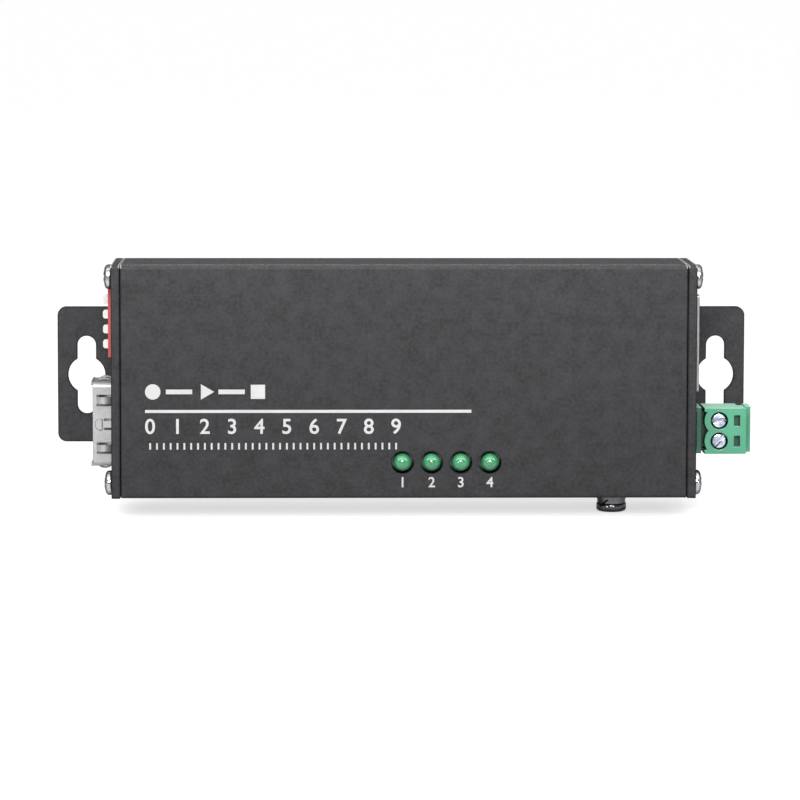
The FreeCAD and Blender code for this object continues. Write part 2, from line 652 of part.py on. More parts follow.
def bowed_finger(side, x0, middle, base):
    """A strip of sheet that bows outwards before the end plate and then lies flat in its cut-out."""
    def place(x, out, width):
        if side == "front":
            return V(x, CAGE_Y - out, middle + width)
        if side == "back":
            return V(x, BOARD_Y + out, middle + width)
        face = CAGE_Z + math.copysign(CAGE_WIDTH / 2 + out, 1 if side == "top" else -1)
        return V(x, middle + width, face)

    edge = -FINGER_WIDTH / 2
    x1 = -END_X - FINGER_CLEAR
    x2 = finger_end()
    mid = (x0 + x1) / 2
    low = [place(x, base, edge) for x in (x0, x1, x2)]
    high = [place(x, base + COLLAR_SHEET, edge) for x in (x0, x1, x2)]
    outer = Part.Arc(high[0], place(mid, base + FINGER_RISE + COLLAR_SHEET, edge), high[1]).toShape()
    inner = Part.Arc(low[1], place(mid, base + FINGER_RISE, edge), low[0]).toShape()
    flats = [Part.makeLine(*ends) for ends in ((high[1], high[2]), (high[2], low[2]), (low[2], low[1]))]
    run = place(mid, base, -edge) - place(mid, base, edge)
    return Part.Face(Part.Wire([Part.makeLine(low[0], high[0]), outer] + flats + [inner])).extrude(run)


def finger_end():
    """Where the slits beside the fingers end, inside the end plate's cut-out."""
    return CAGE_X + COLLAR_LENGTH - FINGER_SET


def sfp_cage():
    """Folded cage: open nose, closed tail, open under the connector, windows under the fingers."""
    cage = sleeve(CAGE_X, CAGE_TAIL, 0, CAGE_SHEET)
    half = CAGE_WIDTH / 2
    wall = CAGE_TAIL - CAGE_SHEET
    plug = box(wall, CAGE_TAIL, CAGE_Y, BOARD_Y, CAGE_Z - half, CAGE_Z + half)
    cage = joined([cage, rounded(plug, CAGE_CORNER, X_AXIS, lambda p: True)])
    cuts = []
    for side, middle, x0 in finger_places():
        cuts.append(across(side, x0, finger_end(), middle, FINGER_WIDTH + 2 * SLIT, -CAGE_SHEET, 0))
    wide = SOCKET_WIDTH / 2 + COLLAR_GAP
    x0 = wall - SOCKET_LENGTH - 2 * PART_GAP
    cuts.append(box(x0, wall, BOARD_Y - CAGE_SHEET, BOARD_Y, CAGE_Z - wide, CAGE_Z + wide))
    return minus(cage, cuts)


def latch_tab():
    """Raised tab with a round nose, in the middle of the collar's front."""
    x0 = CAGE_X + TAB_SET
    rise = COLLAR_SHEET + TAB_RISE
    tab = across("front", x0, x0 + TAB_LENGTH, CAGE_Z, TAB_WIDTH, COLLAR_GAP, COLLAR_GAP + rise)
    return rounded(tab, TAB_ROUND, Y_AXIS, lambda p: p.x < x0 + TAB_LENGTH / 2)


def sfp_spring_collar():
    """Thin collar round the cage's nose: slits beside its fingers, a tab, and a lip over the short edges."""
    collar = sleeve(CAGE_X, CAGE_X + COLLAR_LENGTH, COLLAR_GAP + COLLAR_SHEET, COLLAR_SHEET)
    wide = FINGER_WIDTH + 2 * SLIT
    windows = []
    extras = [latch_tab()]
    for side, middle, x0 in finger_places():
        windows.append(across(side, x0, finger_end(), middle, wide, 0, 2 * COLLAR_SHEET))
        if x0 > CAGE_X + FINGER_SET:
            strip = (COLLAR_GAP, COLLAR_GAP + COLLAR_SHEET)
            extras.append(across(side, x0, finger_end(), middle, FINGER_WIDTH, *strip))
        else:
            extras.append(bowed_finger(side, x0, middle, COLLAR_GAP))
    collar = minus(collar, windows)
    for side in ("top", "bottom"):
        middle, width = CAGE_Y + CAGE_HEIGHT / 2, CAGE_HEIGHT - 2 * CAGE_CORNER
        extras.append(across(side, CAGE_X - COLLAR_LIP, CAGE_X, middle, width, -CAGE_SHEET, COLLAR_LIP))
    return joined([collar] + extras)


def sfp_connector():
    """Edge connector at the back of the cage, with its card slot towards the nose."""
    x1 = CAGE_TAIL - CAGE_SHEET - PART_GAP
    x0 = x1 - SOCKET_LENGTH
    half = SOCKET_WIDTH / 2
    body = box(x0, x1, BOARD_Y - SOCKET_HEIGHT, BOARD_Y, CAGE_Z - half, CAGE_Z + half)
    body = rounded(body, CAGE_SHEET, Y_AXIS, lambda p: p.x < x0 + CAGE_SHEET)
    middle = BOARD_Y - SOCKET_HEIGHT / 2
    wide = SOCKET_CONTACTS * SOCKET_PITCH / 2 + SOCKET_SLOT_END
    slot = box(x0, x0 + SOCKET_SLOT_DEPTH, middle - SOCKET_SLOT / 2, middle + SOCKET_SLOT / 2,
               CAGE_Z - wide, CAGE_Z + wide)
    return body.cut(slot)


def sfp_contacts():
    """Two rows of spring contacts that line the card slot."""
    x0 = CAGE_TAIL - CAGE_SHEET - SOCKET_LENGTH + PART_GAP
    middle = BOARD_Y - SOCKET_HEIGHT / 2
    strips = []
    for i in range(SOCKET_CONTACTS):
        z = CAGE_Z + (i - (SOCKET_CONTACTS - 1) / 2) * SOCKET_PITCH - SOCKET_PITCH / 4
        for side in (-1, 1):
            wall = middle + side * SOCKET_SLOT / 2
            y0, y1 = sorted((wall, wall - side * SOCKET_SLOT / 5))
            strips.append(box(x0, x0 + SOCKET_SLOT_DEPTH - 3 * PART_GAP, y0, y1, z, z + SOCKET_PITCH / 2))
    return Part.makeCompound(strips)


# ---- DIP switch -----------------------------------------------------------------------------------

def slider_y():
    """Middle of a slider at rest, at the board's end of its slot."""
    return DIP_Y + DIP_HEIGHT / 2 + SLIDER_TRAVEL / 2


def dip_body():
    """Red switch body with a slot and a chamber for each slider."""
    half = DIP_WIDTH / 2
    body = box(DIP_X, DIP_X + DIP_LENGTH, DIP_Y, BOARD_Y, DIP_Z - half, DIP_Z + half)
    cuts = []
    y0 = slider_y() - SLIDER_TRAVEL - SLIDER_WIDTH / 2 - SLIDER_GAP
    y1 = slider_y() + SLIDER_WIDTH / 2 + SLIDER_GAP
    room = SLIDER_SHOULDER + SLIDER_GAP
    for z in DIP_ZS:
        wide = SLIDER_WIDTH / 2 + SLIDER_GAP
        x1 = DIP_X + DIP_FACE
        cuts.append(box(DIP_X, x1, y0, y1, z - wide, z + wide))
        x2 = x1 + SLIDER_BASE + 2 * SLIDER_GAP
        cuts.append(box(x1, x2, y0 - room, y1 + room, z - wide - room, z + wide + room))
    return minus(body, cuts)


def dip_slider(z):
    """White slider: a round-ended knob on a base that its chamber holds in."""
    y, half = slider_y(), SLIDER_WIDTH / 2
    knob = box(DIP_X - SLIDER_PROUD, DIP_X + DIP_FACE + SLIDER_GAP, y - half, y + half, z - half, z + half)
    knob = rounded(knob, SLIDER_ROUND, Y_AXIS, lambda p: p.x < DIP_X)
    grow = half + SLIDER_SHOULDER
    x0 = DIP_X + DIP_FACE + SLIDER_GAP
    base = box(x0, x0 + SLIDER_BASE, y - grow, y + grow, z - grow, z + grow)
    return joined([knob, base])


def dip_pins():
    """The switch's legs through the board, in two rows."""
    legs = []
    half = LEAD / 2
    low = BOARD_Y + BOARD + BOARD_GAP
    for z in DIP_ZS:
        for x in (DIP_X + DIP_PIN_IN, DIP_X + DIP_PIN_IN + DIP_PIN_ROWS):
            legs.append(box(x - half, x + half, BOARD_Y, low, z - half, z + half))
    return Part.makeCompound(legs)


# ---- RJ45 jack ------------------------------------------------------------------------------------

def port_tools(x0, x1, grow):
    """The port's stepped opening: the plug's way and the latch's two steps towards the board."""
    tools = []
    y0 = JACK_Y + PORT_WALL
    steps = ((PORT_WIDTH, 0, PORT_HEIGHT), (LATCH_WIDTH, PORT_HEIGHT, LATCH_STEP),
             (KEY_WIDTH, PORT_HEIGHT + LATCH_STEP, KEY_STEP))
    for width, start, height in steps:
        half = width / 2 + grow
        low = y0 + start - (grow if start == 0 else -grow)
        tools.append(box(x0, x1, low, y0 + start + height + grow, JACK_Z - half, JACK_Z + half))
    return tools


def rj45_shield():
    """Folded shield, closed all round but for the port and the underside."""
    half = JACK_WIDTH / 2
    x0 = JACK_X - JACK_LENGTH
    shield = box(x0, JACK_X, JACK_Y, BOARD_Y, JACK_Z - half, JACK_Z + half)
    shield = rounded(shield, JACK_SHEET, X_AXIS, lambda p: p.y < BOARD_Y - JACK_SHEET)
    inside = half - JACK_SHEET
    x1 = JACK_X - JACK_SHEET
    cavity = box(x0 + JACK_SHEET, x1, JACK_Y + JACK_SHEET, BOARD_Y, JACK_Z - inside, JACK_Z + inside)
    return minus(shield, [cavity] + port_tools(x1, JACK_X, JACK_SHEET))


def rj45_insert():
    """Moulded insert that fills the shield and holds the port."""
    gap = JACK_SHEET + COLLAR_GAP
    half = JACK_WIDTH / 2 - gap
    x0, x1 = JACK_X - JACK_LENGTH + gap, JACK_X - gap
    insert = box(x0, x1, JACK_Y + gap, BOARD_Y, JACK_Z - half, JACK_Z + half)
    tools = port_tools(x1 - PORT_DEPTH, x1, 0)
    return minus(insert, tools)


def rj45_contacts():
    """Eight spring wires that hang from the port's front wall and fold back into it."""
    front = JACK_X - JACK_SHEET - COLLAR_GAP
    back, bend, tip = front - PORT_DEPTH, front - CONTACT_BEND, front - CONTACT_TIP
    y0 = JACK_Y + PORT_WALL
    wires = []
    for i in range(JACK_CONTACTS):
        z = JACK_Z + (i - (JACK_CONTACTS - 1) / 2) * JACK_PITCH - CONTACT_WIDTH / 2
        outline = [
            (back, y0), (bend, y0), (bend, y0 + CONTACT_SHEET),
            (tip, y0 + CONTACT_DROP + CONTACT_SHEET), (tip, y0 + CONTACT_DROP),
            (bend - 4 * CONTACT_SHEET, y0 + CONTACT_SHEET), (back, y0 + CONTACT_SHEET),
        ]
        wires.append(prism([V(x, y, z) for x, y in outline], V(0, 0, CONTACT_WIDTH)))
    return Part.makeCompound(wires)


# ---- Power terminal -------------------------------------------------------------------------------

def terminal_header():
    """Green right-angle header: a shroud, open outwards, round two pins."""
    half = HEADER_WIDTH / 2
    x0 = HEADER_START
    body = box(x0, HEADER_X, HEADER_Y, BOARD_Y, TERMINAL_Z - half, TERMINAL_Z + half)
    inside = half - HEADER_WALL
    cavity = box(x0 + HEADER_BACK, HEADER_X, HEADER_Y + HEADER_WALL, BOARD_Y - HEADER_WALL,
                 TERMINAL_Z - inside, TERMINAL_Z + inside)
    groove_x = HEADER_X - HEADER_GROOVE_SET
    groove = box(groove_x - HEADER_GROOVE, groove_x, HEADER_Y, HEADER_Y + HEADER_GROOVE,
                 TERMINAL_Z - inside, TERMINAL_Z + inside)
    holes = [cavity, groove]
    for z in POLE_ZS:
        holes.append(box(x0, x0 + HEADER_BACK, PIN_Y - PIN / 2, PIN_Y + PIN / 2, z - PIN / 2, z + PIN / 2))
    return minus(body, holes)


def header_pins():
    """Two square pins that cross the header's back and turn down through the board."""
    pins = []
    x0 = HEADER_START - PIN
    tip = HEADER_X - HEADER_PROUD - PIN / 4
    low = BOARD_Y + BOARD + BOARD_GAP
    for z in POLE_ZS:
        flat = box(x0, tip, PIN_Y - PIN / 2, PIN_Y + PIN / 2, z - PIN / 2, z + PIN / 2)
        leg = box(x0, x0 + PIN, PIN_Y - PIN / 2, low, z - PIN / 2, z + PIN / 2)
        pins.append(joined([flat, leg]))
    return Part.makeCompound(pins)


def nose_span():
    """Where the plug's nose starts, inside the header's shroud, and where it meets the plug's body."""
    return HEADER_START + HEADER_BACK + RUN_GAP, SCREW_X


def terminal_plug():
    """Green two-pole plug: scalloped round its screws, with a nose for the header and two wire holes."""
    half = HEADER_WIDTH / 2
    y1 = PLUG_Y + PLUG_HEIGHT
    blocks = [box(SCREW_X, PLUG_END, PLUG_Y, y1, TERMINAL_Z - half, TERMINAL_Z + half)]
    for z in POLE_ZS:
        blocks.append(rod(SCREW_X - PLUG_X, SCREW_X, PLUG_Y, z, Y_AXIS, PLUG_HEIGHT))
    for z0 in (TERMINAL_Z - half, TERMINAL_Z + half - PLUG_SIDE):
        blocks.append(box(PLUG_X, SCREW_X, PLUG_Y, y1, z0, z0 + PLUG_SIDE))
    trim = box(PLUG_X, PLUG_END, PLUG_Y, y1, TERMINAL_Z - half, TERMINAL_Z + half)
    body = joined(blocks).common(trim)
    body = rounded(body, PLUG_EDGE, Y_AXIS, lambda p: p.x > PLUG_END - PLUG_EDGE)

    nose0, nose1 = nose_span()
    inside = half - HEADER_WALL - PLUG_GAP
    nose_y, rib_y = HEADER_Y + HEADER_WALL + NOSE_ROOM, HEADER_Y + HEADER_WALL + PLUG_GAP
    nose = [box(nose0, nose1, nose_y, BOARD_Y - HEADER_WALL - PLUG_GAP,
                TERMINAL_Z - inside, TERMINAL_Z + inside)]
    for z in POLE_ZS:
        nose.append(box(nose0, END_X, rib_y, nose_y, z - NOSE_RIB / 2, z + NOSE_RIB / 2))
    far = PLUG_END + PLUG_FLANGE
    flange = box(PLUG_END, far, PLUG_Y + PLUG_FLANGE_SET, y1, TERMINAL_Z - half, TERMINAL_Z + half)
    body = joined([body] + nose + [flange])

    cuts = []
    hole = WIRE_HOLE / 2
    grip = PIN / 2 + PIN_GAP + SLEEVE_SHEET + COLLAR_GAP
    for z in POLE_ZS:
        cuts.append(rod(WIRE_HEAD_HOLE, SCREW_X, PLUG_Y, z, Y_AXIS, SHOULDER_Y - PLUG_Y))
        cuts.append(rod(WIRE_SCREW_CORE + PIN_GAP, SCREW_X, SHOULDER_Y, z, Y_AXIS, SHOULDER))
        wide, long = CLAMP_WIDTH / 2 + RUN_GAP, CLAMP_LENGTH / 2 + RUN_GAP
        low, high = SHOULDER_Y + SHOULDER, y1 - PLUG_FLOOR
        cuts.append(box(SCREW_X - long, SCREW_X + long, low, high, z - wide, z + wide))
        middle = CLAMP_Y + CLAMP_NUT + CLAMP_WINDOW / 2
        cuts.append(box(SCREW_X, far, middle - hole, middle + hole, z - hole, z + hole))
        cuts.append(box(nose0, SCREW_X, PIN_Y - grip, PIN_Y + grip, z - grip, z + grip))
        probe, wide = PLUG_END - PROBE_SET, PROBE_WIDTH / 2
        cuts.append(box(probe - PROBE_LENGTH, probe, PLUG_Y, PLUG_Y + PROBE_DEPTH, z - wide, z + wide))
    for side in (-1, 1):
        z0, z1 = sorted((TERMINAL_Z + side * half, TERMINAL_Z + side * (half - NOTCH_DEPTH)))
        cuts.append(box(PLUG_END - NOTCH_LENGTH, PLUG_END, y1 - NOTCH_HEIGHT, y1, z0, z1))
    return minus(body, cuts)


def plug_contacts():
    """Sleeves that grip the header's pins, each with the bar that its clamp presses a wire against."""
    parts = []
    x0 = nose_span()[0] + RUN_GAP
    bus_start = SCREW_X - CLAMP_LENGTH / 2 - RUN_GAP
    outer = PIN / 2 + PIN_GAP + SLEEVE_SHEET
    inner = PIN / 2 + PIN_GAP
    for z in POLE_ZS:
        tube = box(x0, bus_start, PIN_Y - outer, PIN_Y + outer, z - outer, z + outer)
        tube = tube.cut(box(x0, bus_start, PIN_Y - inner, PIN_Y + inner, z - inner, z + inner))
        wall = box(bus_start - SLEEVE_SHEET, bus_start, PIN_Y - outer, PIN_Y + outer, z - outer, z + outer)
        bar = box(bus_start - SLEEVE_SHEET, SCREW_X + CLAMP_LENGTH / 2, BUS_Y, BUS_Y + BUS_BAR,
                  z - BUS_WIDTH / 2, z + BUS_WIDTH / 2)
        parts.append(joined([tube, wall, bar]))
    return Part.makeCompound(parts)


def terminal_screw(z, turn):
    """Slotted wire screw, kept in the plug by its shoulder."""
    head_y = PLUG_Y + WIRE_SCREW_SINK
    head = rod(WIRE_SCREW_HEAD, SCREW_X, head_y, z, Y_AXIS, WIRE_SCREW_HEAD_HEIGHT - PIN_GAP)
    rim = outer_rim(head, lambda p: p.y < head_y + WIRE_SCREW_HEAD_HEIGHT / 2)
    head = head.makeChamfer(WIRE_SCREW_EDGE, rim)
    tip = BUS_Y - PIN_GAP
    start = head_y + WIRE_SCREW_HEAD_HEIGHT / 2
    screw = joined([head, rod(WIRE_SCREW_CORE, SCREW_X, start, z, Y_AXIS, tip - start)])
    slot = slot_tool(SCREW_X, head_y, z, WIRE_SCREW_HEAD, WIRE_SCREW_SLOT, WIRE_SCREW_SLOT_DEPTH, turn)
    return screw.cut(slot)


def wire_clamp(z):
    """Rising clamp: a thick nut side on the screw and a window for the wire and the bar."""
    wide, long = CLAMP_WIDTH / 2, CLAMP_LENGTH / 2
    frame = box(SCREW_X - long, SCREW_X + long, CLAMP_Y, CLAMP_Y + CLAMP_HEIGHT, z - wide, z + wide)
    window = box(SCREW_X - long, SCREW_X + long, CLAMP_Y + CLAMP_NUT, CLAMP_Y + CLAMP_NUT + CLAMP_WINDOW,
                 z - wide + CLAMP_SHEET, z + wide - CLAMP_SHEET)
    bore = rod(WIRE_SCREW_CORE + PIN_GAP, SCREW_X, CLAMP_Y, z, Y_AXIS, CLAMP_NUT)
    return minus(frame, [window, bore])


# ---- Status lamps ---------------------------------------------------------------------------------

def lamp(x):
    """Round-nosed 3 mm lamp with a rim at its base."""
    nose = FRONT_Y - LAMP_PROUD + LAMP_RADIUS
    body = [Part.makeSphere(LAMP_RADIUS, V(x, nose, LAMP_Z))]
    body.append(rod(LAMP_RADIUS, x, nose, LAMP_Z, Y_AXIS, LAMP_BASE_Y - nose))
    rim_y = LAMP_BASE_Y - LAMP_RIM_HEIGHT
    body.append(rod(LAMP_RADIUS + LAMP_RIM, x, rim_y, LAMP_Z, Y_AXIS, LAMP_RIM_HEIGHT))
    return joined(body)


def led_spacers():
    """Black tubes that hold the lamps at their height over the board."""
    tubes = []
    outer = LAMP_RADIUS + LAMP_RIM
    for x in LAMP_XS:
        tube = rod(outer, x, LAMP_BASE_Y, LAMP_Z, Y_AXIS, BOARD_Y - LAMP_BASE_Y)
        bore = rod(outer - SPACER_WALL, x, LAMP_BASE_Y, LAMP_Z, Y_AXIS, BOARD_Y - LAMP_BASE_Y)
        tubes.append(tube.cut(bore))
    return Part.makeCompound(tubes)


def led_leads():
    """Two square legs from each lamp through the board."""
    legs = []
    half = LEAD / 2
    low = BOARD_Y + BOARD + BOARD_GAP
    for x in LAMP_XS:
        for middle in (x - LEAD_PITCH / 2, x + LEAD_PITCH / 2):
            legs.append(box(middle - half, middle + half, LAMP_BASE_Y, low, LAMP_Z - half, LAMP_Z + half))
    return Part.makeCompound(legs)


# ---- Board and what stands on it ------------------------------------------------------------------

def board_block(size, place):
    """A chip-like block of some length, width and height on the board, round a middle x and z."""
    length, width, height = size
    x, z = place
    return box(x - length / 2, x + length / 2, BOARD_Y - height, BOARD_Y, z - width / 2, z + width / 2)


def circuit_board():
    """The board, drilled for every leg that goes through it."""
    half = HALF_LENGTH - BOARD_END_GAP
    tall = TOP - SHELL_WALL - BOARD_EDGE_GAP
    board = box(-half, half, BOARD_Y, BOARD_Y + BOARD, -tall, tall)
    legs = [led_leads(), dip_pins(), header_pins()]
    return minus(board, legs)


def network_transformer():
    """Block of magnetics with legs along each long side."""
    x, z = TRANSFORMER_AT
    body = rounded(board_block(TRANSFORMER, TRANSFORMER_AT), TRANSFORMER_EDGE, Y_AXIS, lambda p: True)
    reach, half = TRANSFORMER_REACH, LEG_WIDTH / 2
    legs = []
    for i in range(TRANSFORMER_LEGS):
        middle = z + (i - (TRANSFORMER_LEGS - 1) / 2) * TRANSFORMER_PITCH
        legs.append(box(x - reach, x + reach, BOARD_Y - LEG_SHEET, BOARD_Y, middle - half, middle + half))
    return joined([body] + legs)


def converter_chip():
    """Flat square chip with rounded corners."""
    return rounded(board_block(CHIP, CHIP_AT), CHIP_EDGE, Y_AXIS, lambda p: True)


def regulator_chip():
    """Small power chip with legs along two sides."""
    x, z = REGULATOR_AT
    reach, half = REGULATOR[1] / 2 + LEG_REACH, LEG_WIDTH / 2
    legs = []
    for i in range(REGULATOR_LEGS):
        middle = x + (i - (REGULATOR_LEGS - 1) / 2) * REGULATOR_PITCH
        legs.append(box(middle - half, middle + half, BOARD_Y - LEG_SHEET, BOARD_Y, z - reach, z + reach))
    return joined([board_block(REGULATOR, REGULATOR_AT)] + legs)


def power_inductor():
    """Shielded inductor with round corners and a ring groove round its core."""
    x, z = INDUCTOR_AT
    top = BOARD_Y - INDUCTOR[2]
    body = rounded(board_block(INDUCTOR, INDUCTOR_AT), INDUCTOR_CORNER, Y_AXIS, lambda p: True)
    ring = rod(INDUCTOR_RING, x, top, z, Y_AXIS, INDUCTOR_GROOVE)
    return body.cut(ring.cut(rod(INDUCTOR_CORE, x, top, z, Y_AXIS, INDUCTOR_GROOVE)))


def capacitors():
    """Two can capacitors on square feet."""
    cans = []
    half = CAPACITOR_FOOT / 2
    low, high = CAPACITOR_Z - half, CAPACITOR_Z + half
    for x in CAPACITOR_XS:
        foot = box(x - half, x + half, BOARD_Y - CAPACITOR_FOOT_HEIGHT, BOARD_Y, low, high)
        can = rod(CAPACITOR_RADIUS, x, BOARD_Y - CAPACITOR_HEIGHT, CAPACITOR_Z, Y_AXIS, CAPACITOR_HEIGHT)
        cans.append(joined([foot, can]))
    return Part.makeCompound(cans)


# ---- The whole unit -------------------------------------------------------------------------------

def main():
    """Builds every sub-part and writes it to parts/."""
    os.makedirs("parts", exist_ok=True)
    screw, spring, flat = ground_parts()
    nodes = {
        "front_cover": front_cover(),
        "rear_shell": rear_shell(),
        "left_end_plate": left_end_plate(),
        "right_end_plate": right_end_plate(),
        "left_end_screws": end_screws(-1),
        "right_end_screws": end_screws(1),
        "wall_plate": wall_plate(),
        "wall_plate_screws": wall_plate_screws(),
        "ground_insert": ground_insert(),
        "ground_screw": screw,
        "ground_spring_washer": spring,
        "ground_flat_washer": flat,
        "sfp_cage": sfp_cage(),
        "sfp_spring_collar": sfp_spring_collar(),
        "sfp_connector": sfp_connector(),
        "sfp_contacts": sfp_contacts(),
        "dip_body": dip_body(),
        "dip_pins": dip_pins(),
        "rj45_shield": rj45_shield(),
        "rj45_insert": rj45_insert(),
        "rj45_contacts": rj45_contacts(),
        "terminal_header": terminal_header(),
        "header_pins": header_pins(),
        "terminal_plug": terminal_plug(),
        "plug_contacts": plug_contacts(),
        "led_spacers": led_spacers(),
        "led_leads": led_leads(),
        "circuit_board": circuit_board(),
        "network_transformer": network_transformer(),
        "converter_chip": converter_chip(),
        "regulator_chip": regulator_chip(),
        "power_inductor": power_inductor(),
        "crystal": board_block(CRYSTAL, CRYSTAL_AT),
        "capacitors": capacitors(),
    }
    for i, z in enumerate(DIP_ZS, start=1):
        nodes[f"dip_slider_{i}"] = dip_slider(z)
    for i, (z, turn) in enumerate(zip(POLE_ZS, WIRE_SCREW_ANGLES), start=1):
        nodes[f"terminal_screw_{i}"] = terminal_screw(z, turn)
        nodes[f"wire_clamp_{i}"] = wire_clamp(z)
    for i, x in enumerate(LAMP_XS, start=1):
        nodes[f"led_{i}"] = lamp(x)
    for node, shape in nodes.items():
        save(node, shape)


if __name__ == "__main__":
    main()
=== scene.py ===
"""Looks of an industrial fibre media converter, built around its packed construction model.

The unit lies in the model's own frame, in metres: +X runs to the copper end, +Y into the wall and +Z is up.
Each sub-assembly is a class that dresses the model's nodes and adds or replaces the pieces whose look needs
more than the construction gives.
"""
from __future__ import annotations

import logging
import math
from dataclasses import dataclass, field, replace
from enum import Enum
from typing import Iterable, Optional

import bmesh
import bpy
from mathutils import Euler, Matrix, Vector

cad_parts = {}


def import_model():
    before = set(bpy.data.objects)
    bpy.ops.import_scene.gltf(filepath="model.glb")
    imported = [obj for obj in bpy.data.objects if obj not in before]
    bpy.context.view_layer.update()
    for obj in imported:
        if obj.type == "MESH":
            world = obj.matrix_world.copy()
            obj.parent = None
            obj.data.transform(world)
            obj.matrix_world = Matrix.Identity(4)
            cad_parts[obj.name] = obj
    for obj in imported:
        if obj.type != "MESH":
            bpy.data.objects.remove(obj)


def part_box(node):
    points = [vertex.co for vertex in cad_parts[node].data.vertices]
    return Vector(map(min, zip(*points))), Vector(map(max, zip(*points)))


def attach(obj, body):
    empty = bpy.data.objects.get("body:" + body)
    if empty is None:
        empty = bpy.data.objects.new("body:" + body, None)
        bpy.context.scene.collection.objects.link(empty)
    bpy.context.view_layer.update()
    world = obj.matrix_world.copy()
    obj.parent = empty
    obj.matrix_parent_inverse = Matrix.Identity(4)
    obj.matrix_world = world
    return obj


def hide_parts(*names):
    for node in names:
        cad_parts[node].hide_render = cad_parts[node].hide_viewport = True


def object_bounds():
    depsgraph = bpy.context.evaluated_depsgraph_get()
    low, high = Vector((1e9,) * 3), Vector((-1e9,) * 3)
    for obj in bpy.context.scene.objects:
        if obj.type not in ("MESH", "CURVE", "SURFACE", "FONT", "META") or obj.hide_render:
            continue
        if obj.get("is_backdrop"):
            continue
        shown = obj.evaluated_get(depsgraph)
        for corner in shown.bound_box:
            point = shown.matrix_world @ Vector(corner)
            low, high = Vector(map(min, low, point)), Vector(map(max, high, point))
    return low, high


LOG = logging.getLogger("media_converter")
MM = 0.001
Span = tuple[float, float]

# Vertices closer than this, in metres, are one.
WELD = 1e-6
# Edges that turn more than this many degrees stay sharp.
SMOOTH_ANGLE = 35.0
# Faces across a rolled edge.
ROLL_STEPS = 2
# Places of a colour mix's factor, its two colours and its result among the Mix node's sockets.
FACTOR, FIRST, SECOND, MIXED = 0, 6, 7, 2
NO_LIGHT = (0.0, 0.0, 0.0, 1.0)
FULL_LIGHT = (1.0, 1.0, 1.0, 1.0)


# ---- Colour and node helpers -----------------------------------------------------------------------

def linear(colour: str) -> tuple[float, float, float, float]:
    """Turns an sRGB hex colour into a linear one.

    Args:
        colour: Six hex digits, with or without a leading '#'.

    Returns:
        Linear red, green, blue and an alpha of one.
    """
    digits = colour.lstrip("#")
    channels = []
    for start in (0, 2, 4):
        value = int(digits[start:start + 2], 16) / 255
        channels.append(value / 12.92 if value <= 0.04045 else ((value + 0.055) / 1.055) ** 2.4)
    return channels[0], channels[1], channels[2], 1.0


def add_node(tree: bpy.types.NodeTree, kind: str, inputs: Optional[dict[str | int, object]] = None,
             **settings: object) -> bpy.types.Node:
    """Adds a node to a tree with its settings and links.

    Args:
        tree: The tree that gets the node.
        kind: Blender's name of the node type.
        inputs: Value or output socket for each input, by name or index.
        **settings: Attributes of the node itself.

    Returns:
        The new node.
    """
    node = tree.nodes.new(kind)
    for name, value in settings.items():
        setattr(node, name, value)
    for key, value in (inputs or {}).items():
        socket = node.inputs[key]
        if isinstance(value, bpy.types.NodeSocket):
            tree.links.new(value, socket)
        else:
            socket.default_value = value
    return node


def per_metre(size_mm: float) -> float:
    """Texture scale at which one cell of a pattern is as wide as the size given in millimetres."""
    return 1.0 / (size_mm * MM)


# ---- Finishes --------------------------------------------------------------------------------------

# Detail and roughness of the grain's noise, and detail of the clouds'.
GRAIN_DETAIL, GRAIN_ROUGHNESS, CLOUD_DETAIL = 3.0, 0.6, 2.0
# How many directions are tried for the painted shade of gaps and for the rolled edges.
GAP_SAMPLES, EDGE_SAMPLES = 8, 6
# Roughness of a clear top layer.
TOP_COAT_ROUGHNESS = 0.05
# Share of its lightness that the surface keeps under the darkest painted gap shade.
GAP_LEFT = 0.08
# Each span below says at which value an effect starts and at which it is full.
# Grain times clouds, from the plain colour to its shade.
TONE_SPAN: Span = (0.12, 0.4)
# Grain, from the smoothest to the roughest.
GLOSS_SPAN: Span = (0.3, 0.7)
# Open share of what lies round a place, from the darkest painted gap shade to open surface.
OPEN_SPAN: Span = (0.15, 0.8)
# Cosine between the flat normal and the rolled one, from surface to edge.
EDGE_SPAN: Span = (0.992, 0.9)
# Upward part of the normal, from the edges with painted shade to those with a painted highlight.
UP_SPAN: Span = (0.15, 0.45)
# Upward part of the normal, from a slope to a level top with the painted highlight.
LEVEL_SPAN: Span = (0.8, 0.95)
# Turn away from the eye, where the rim of a round metal piece gets its painted dark rim.
RIM_SPAN: Span = (0.25, 0.65)
# Turn away from the eye, where a dyed dome gets its painted rim light.
RING_SPAN: Span = (0.5, 0.8)


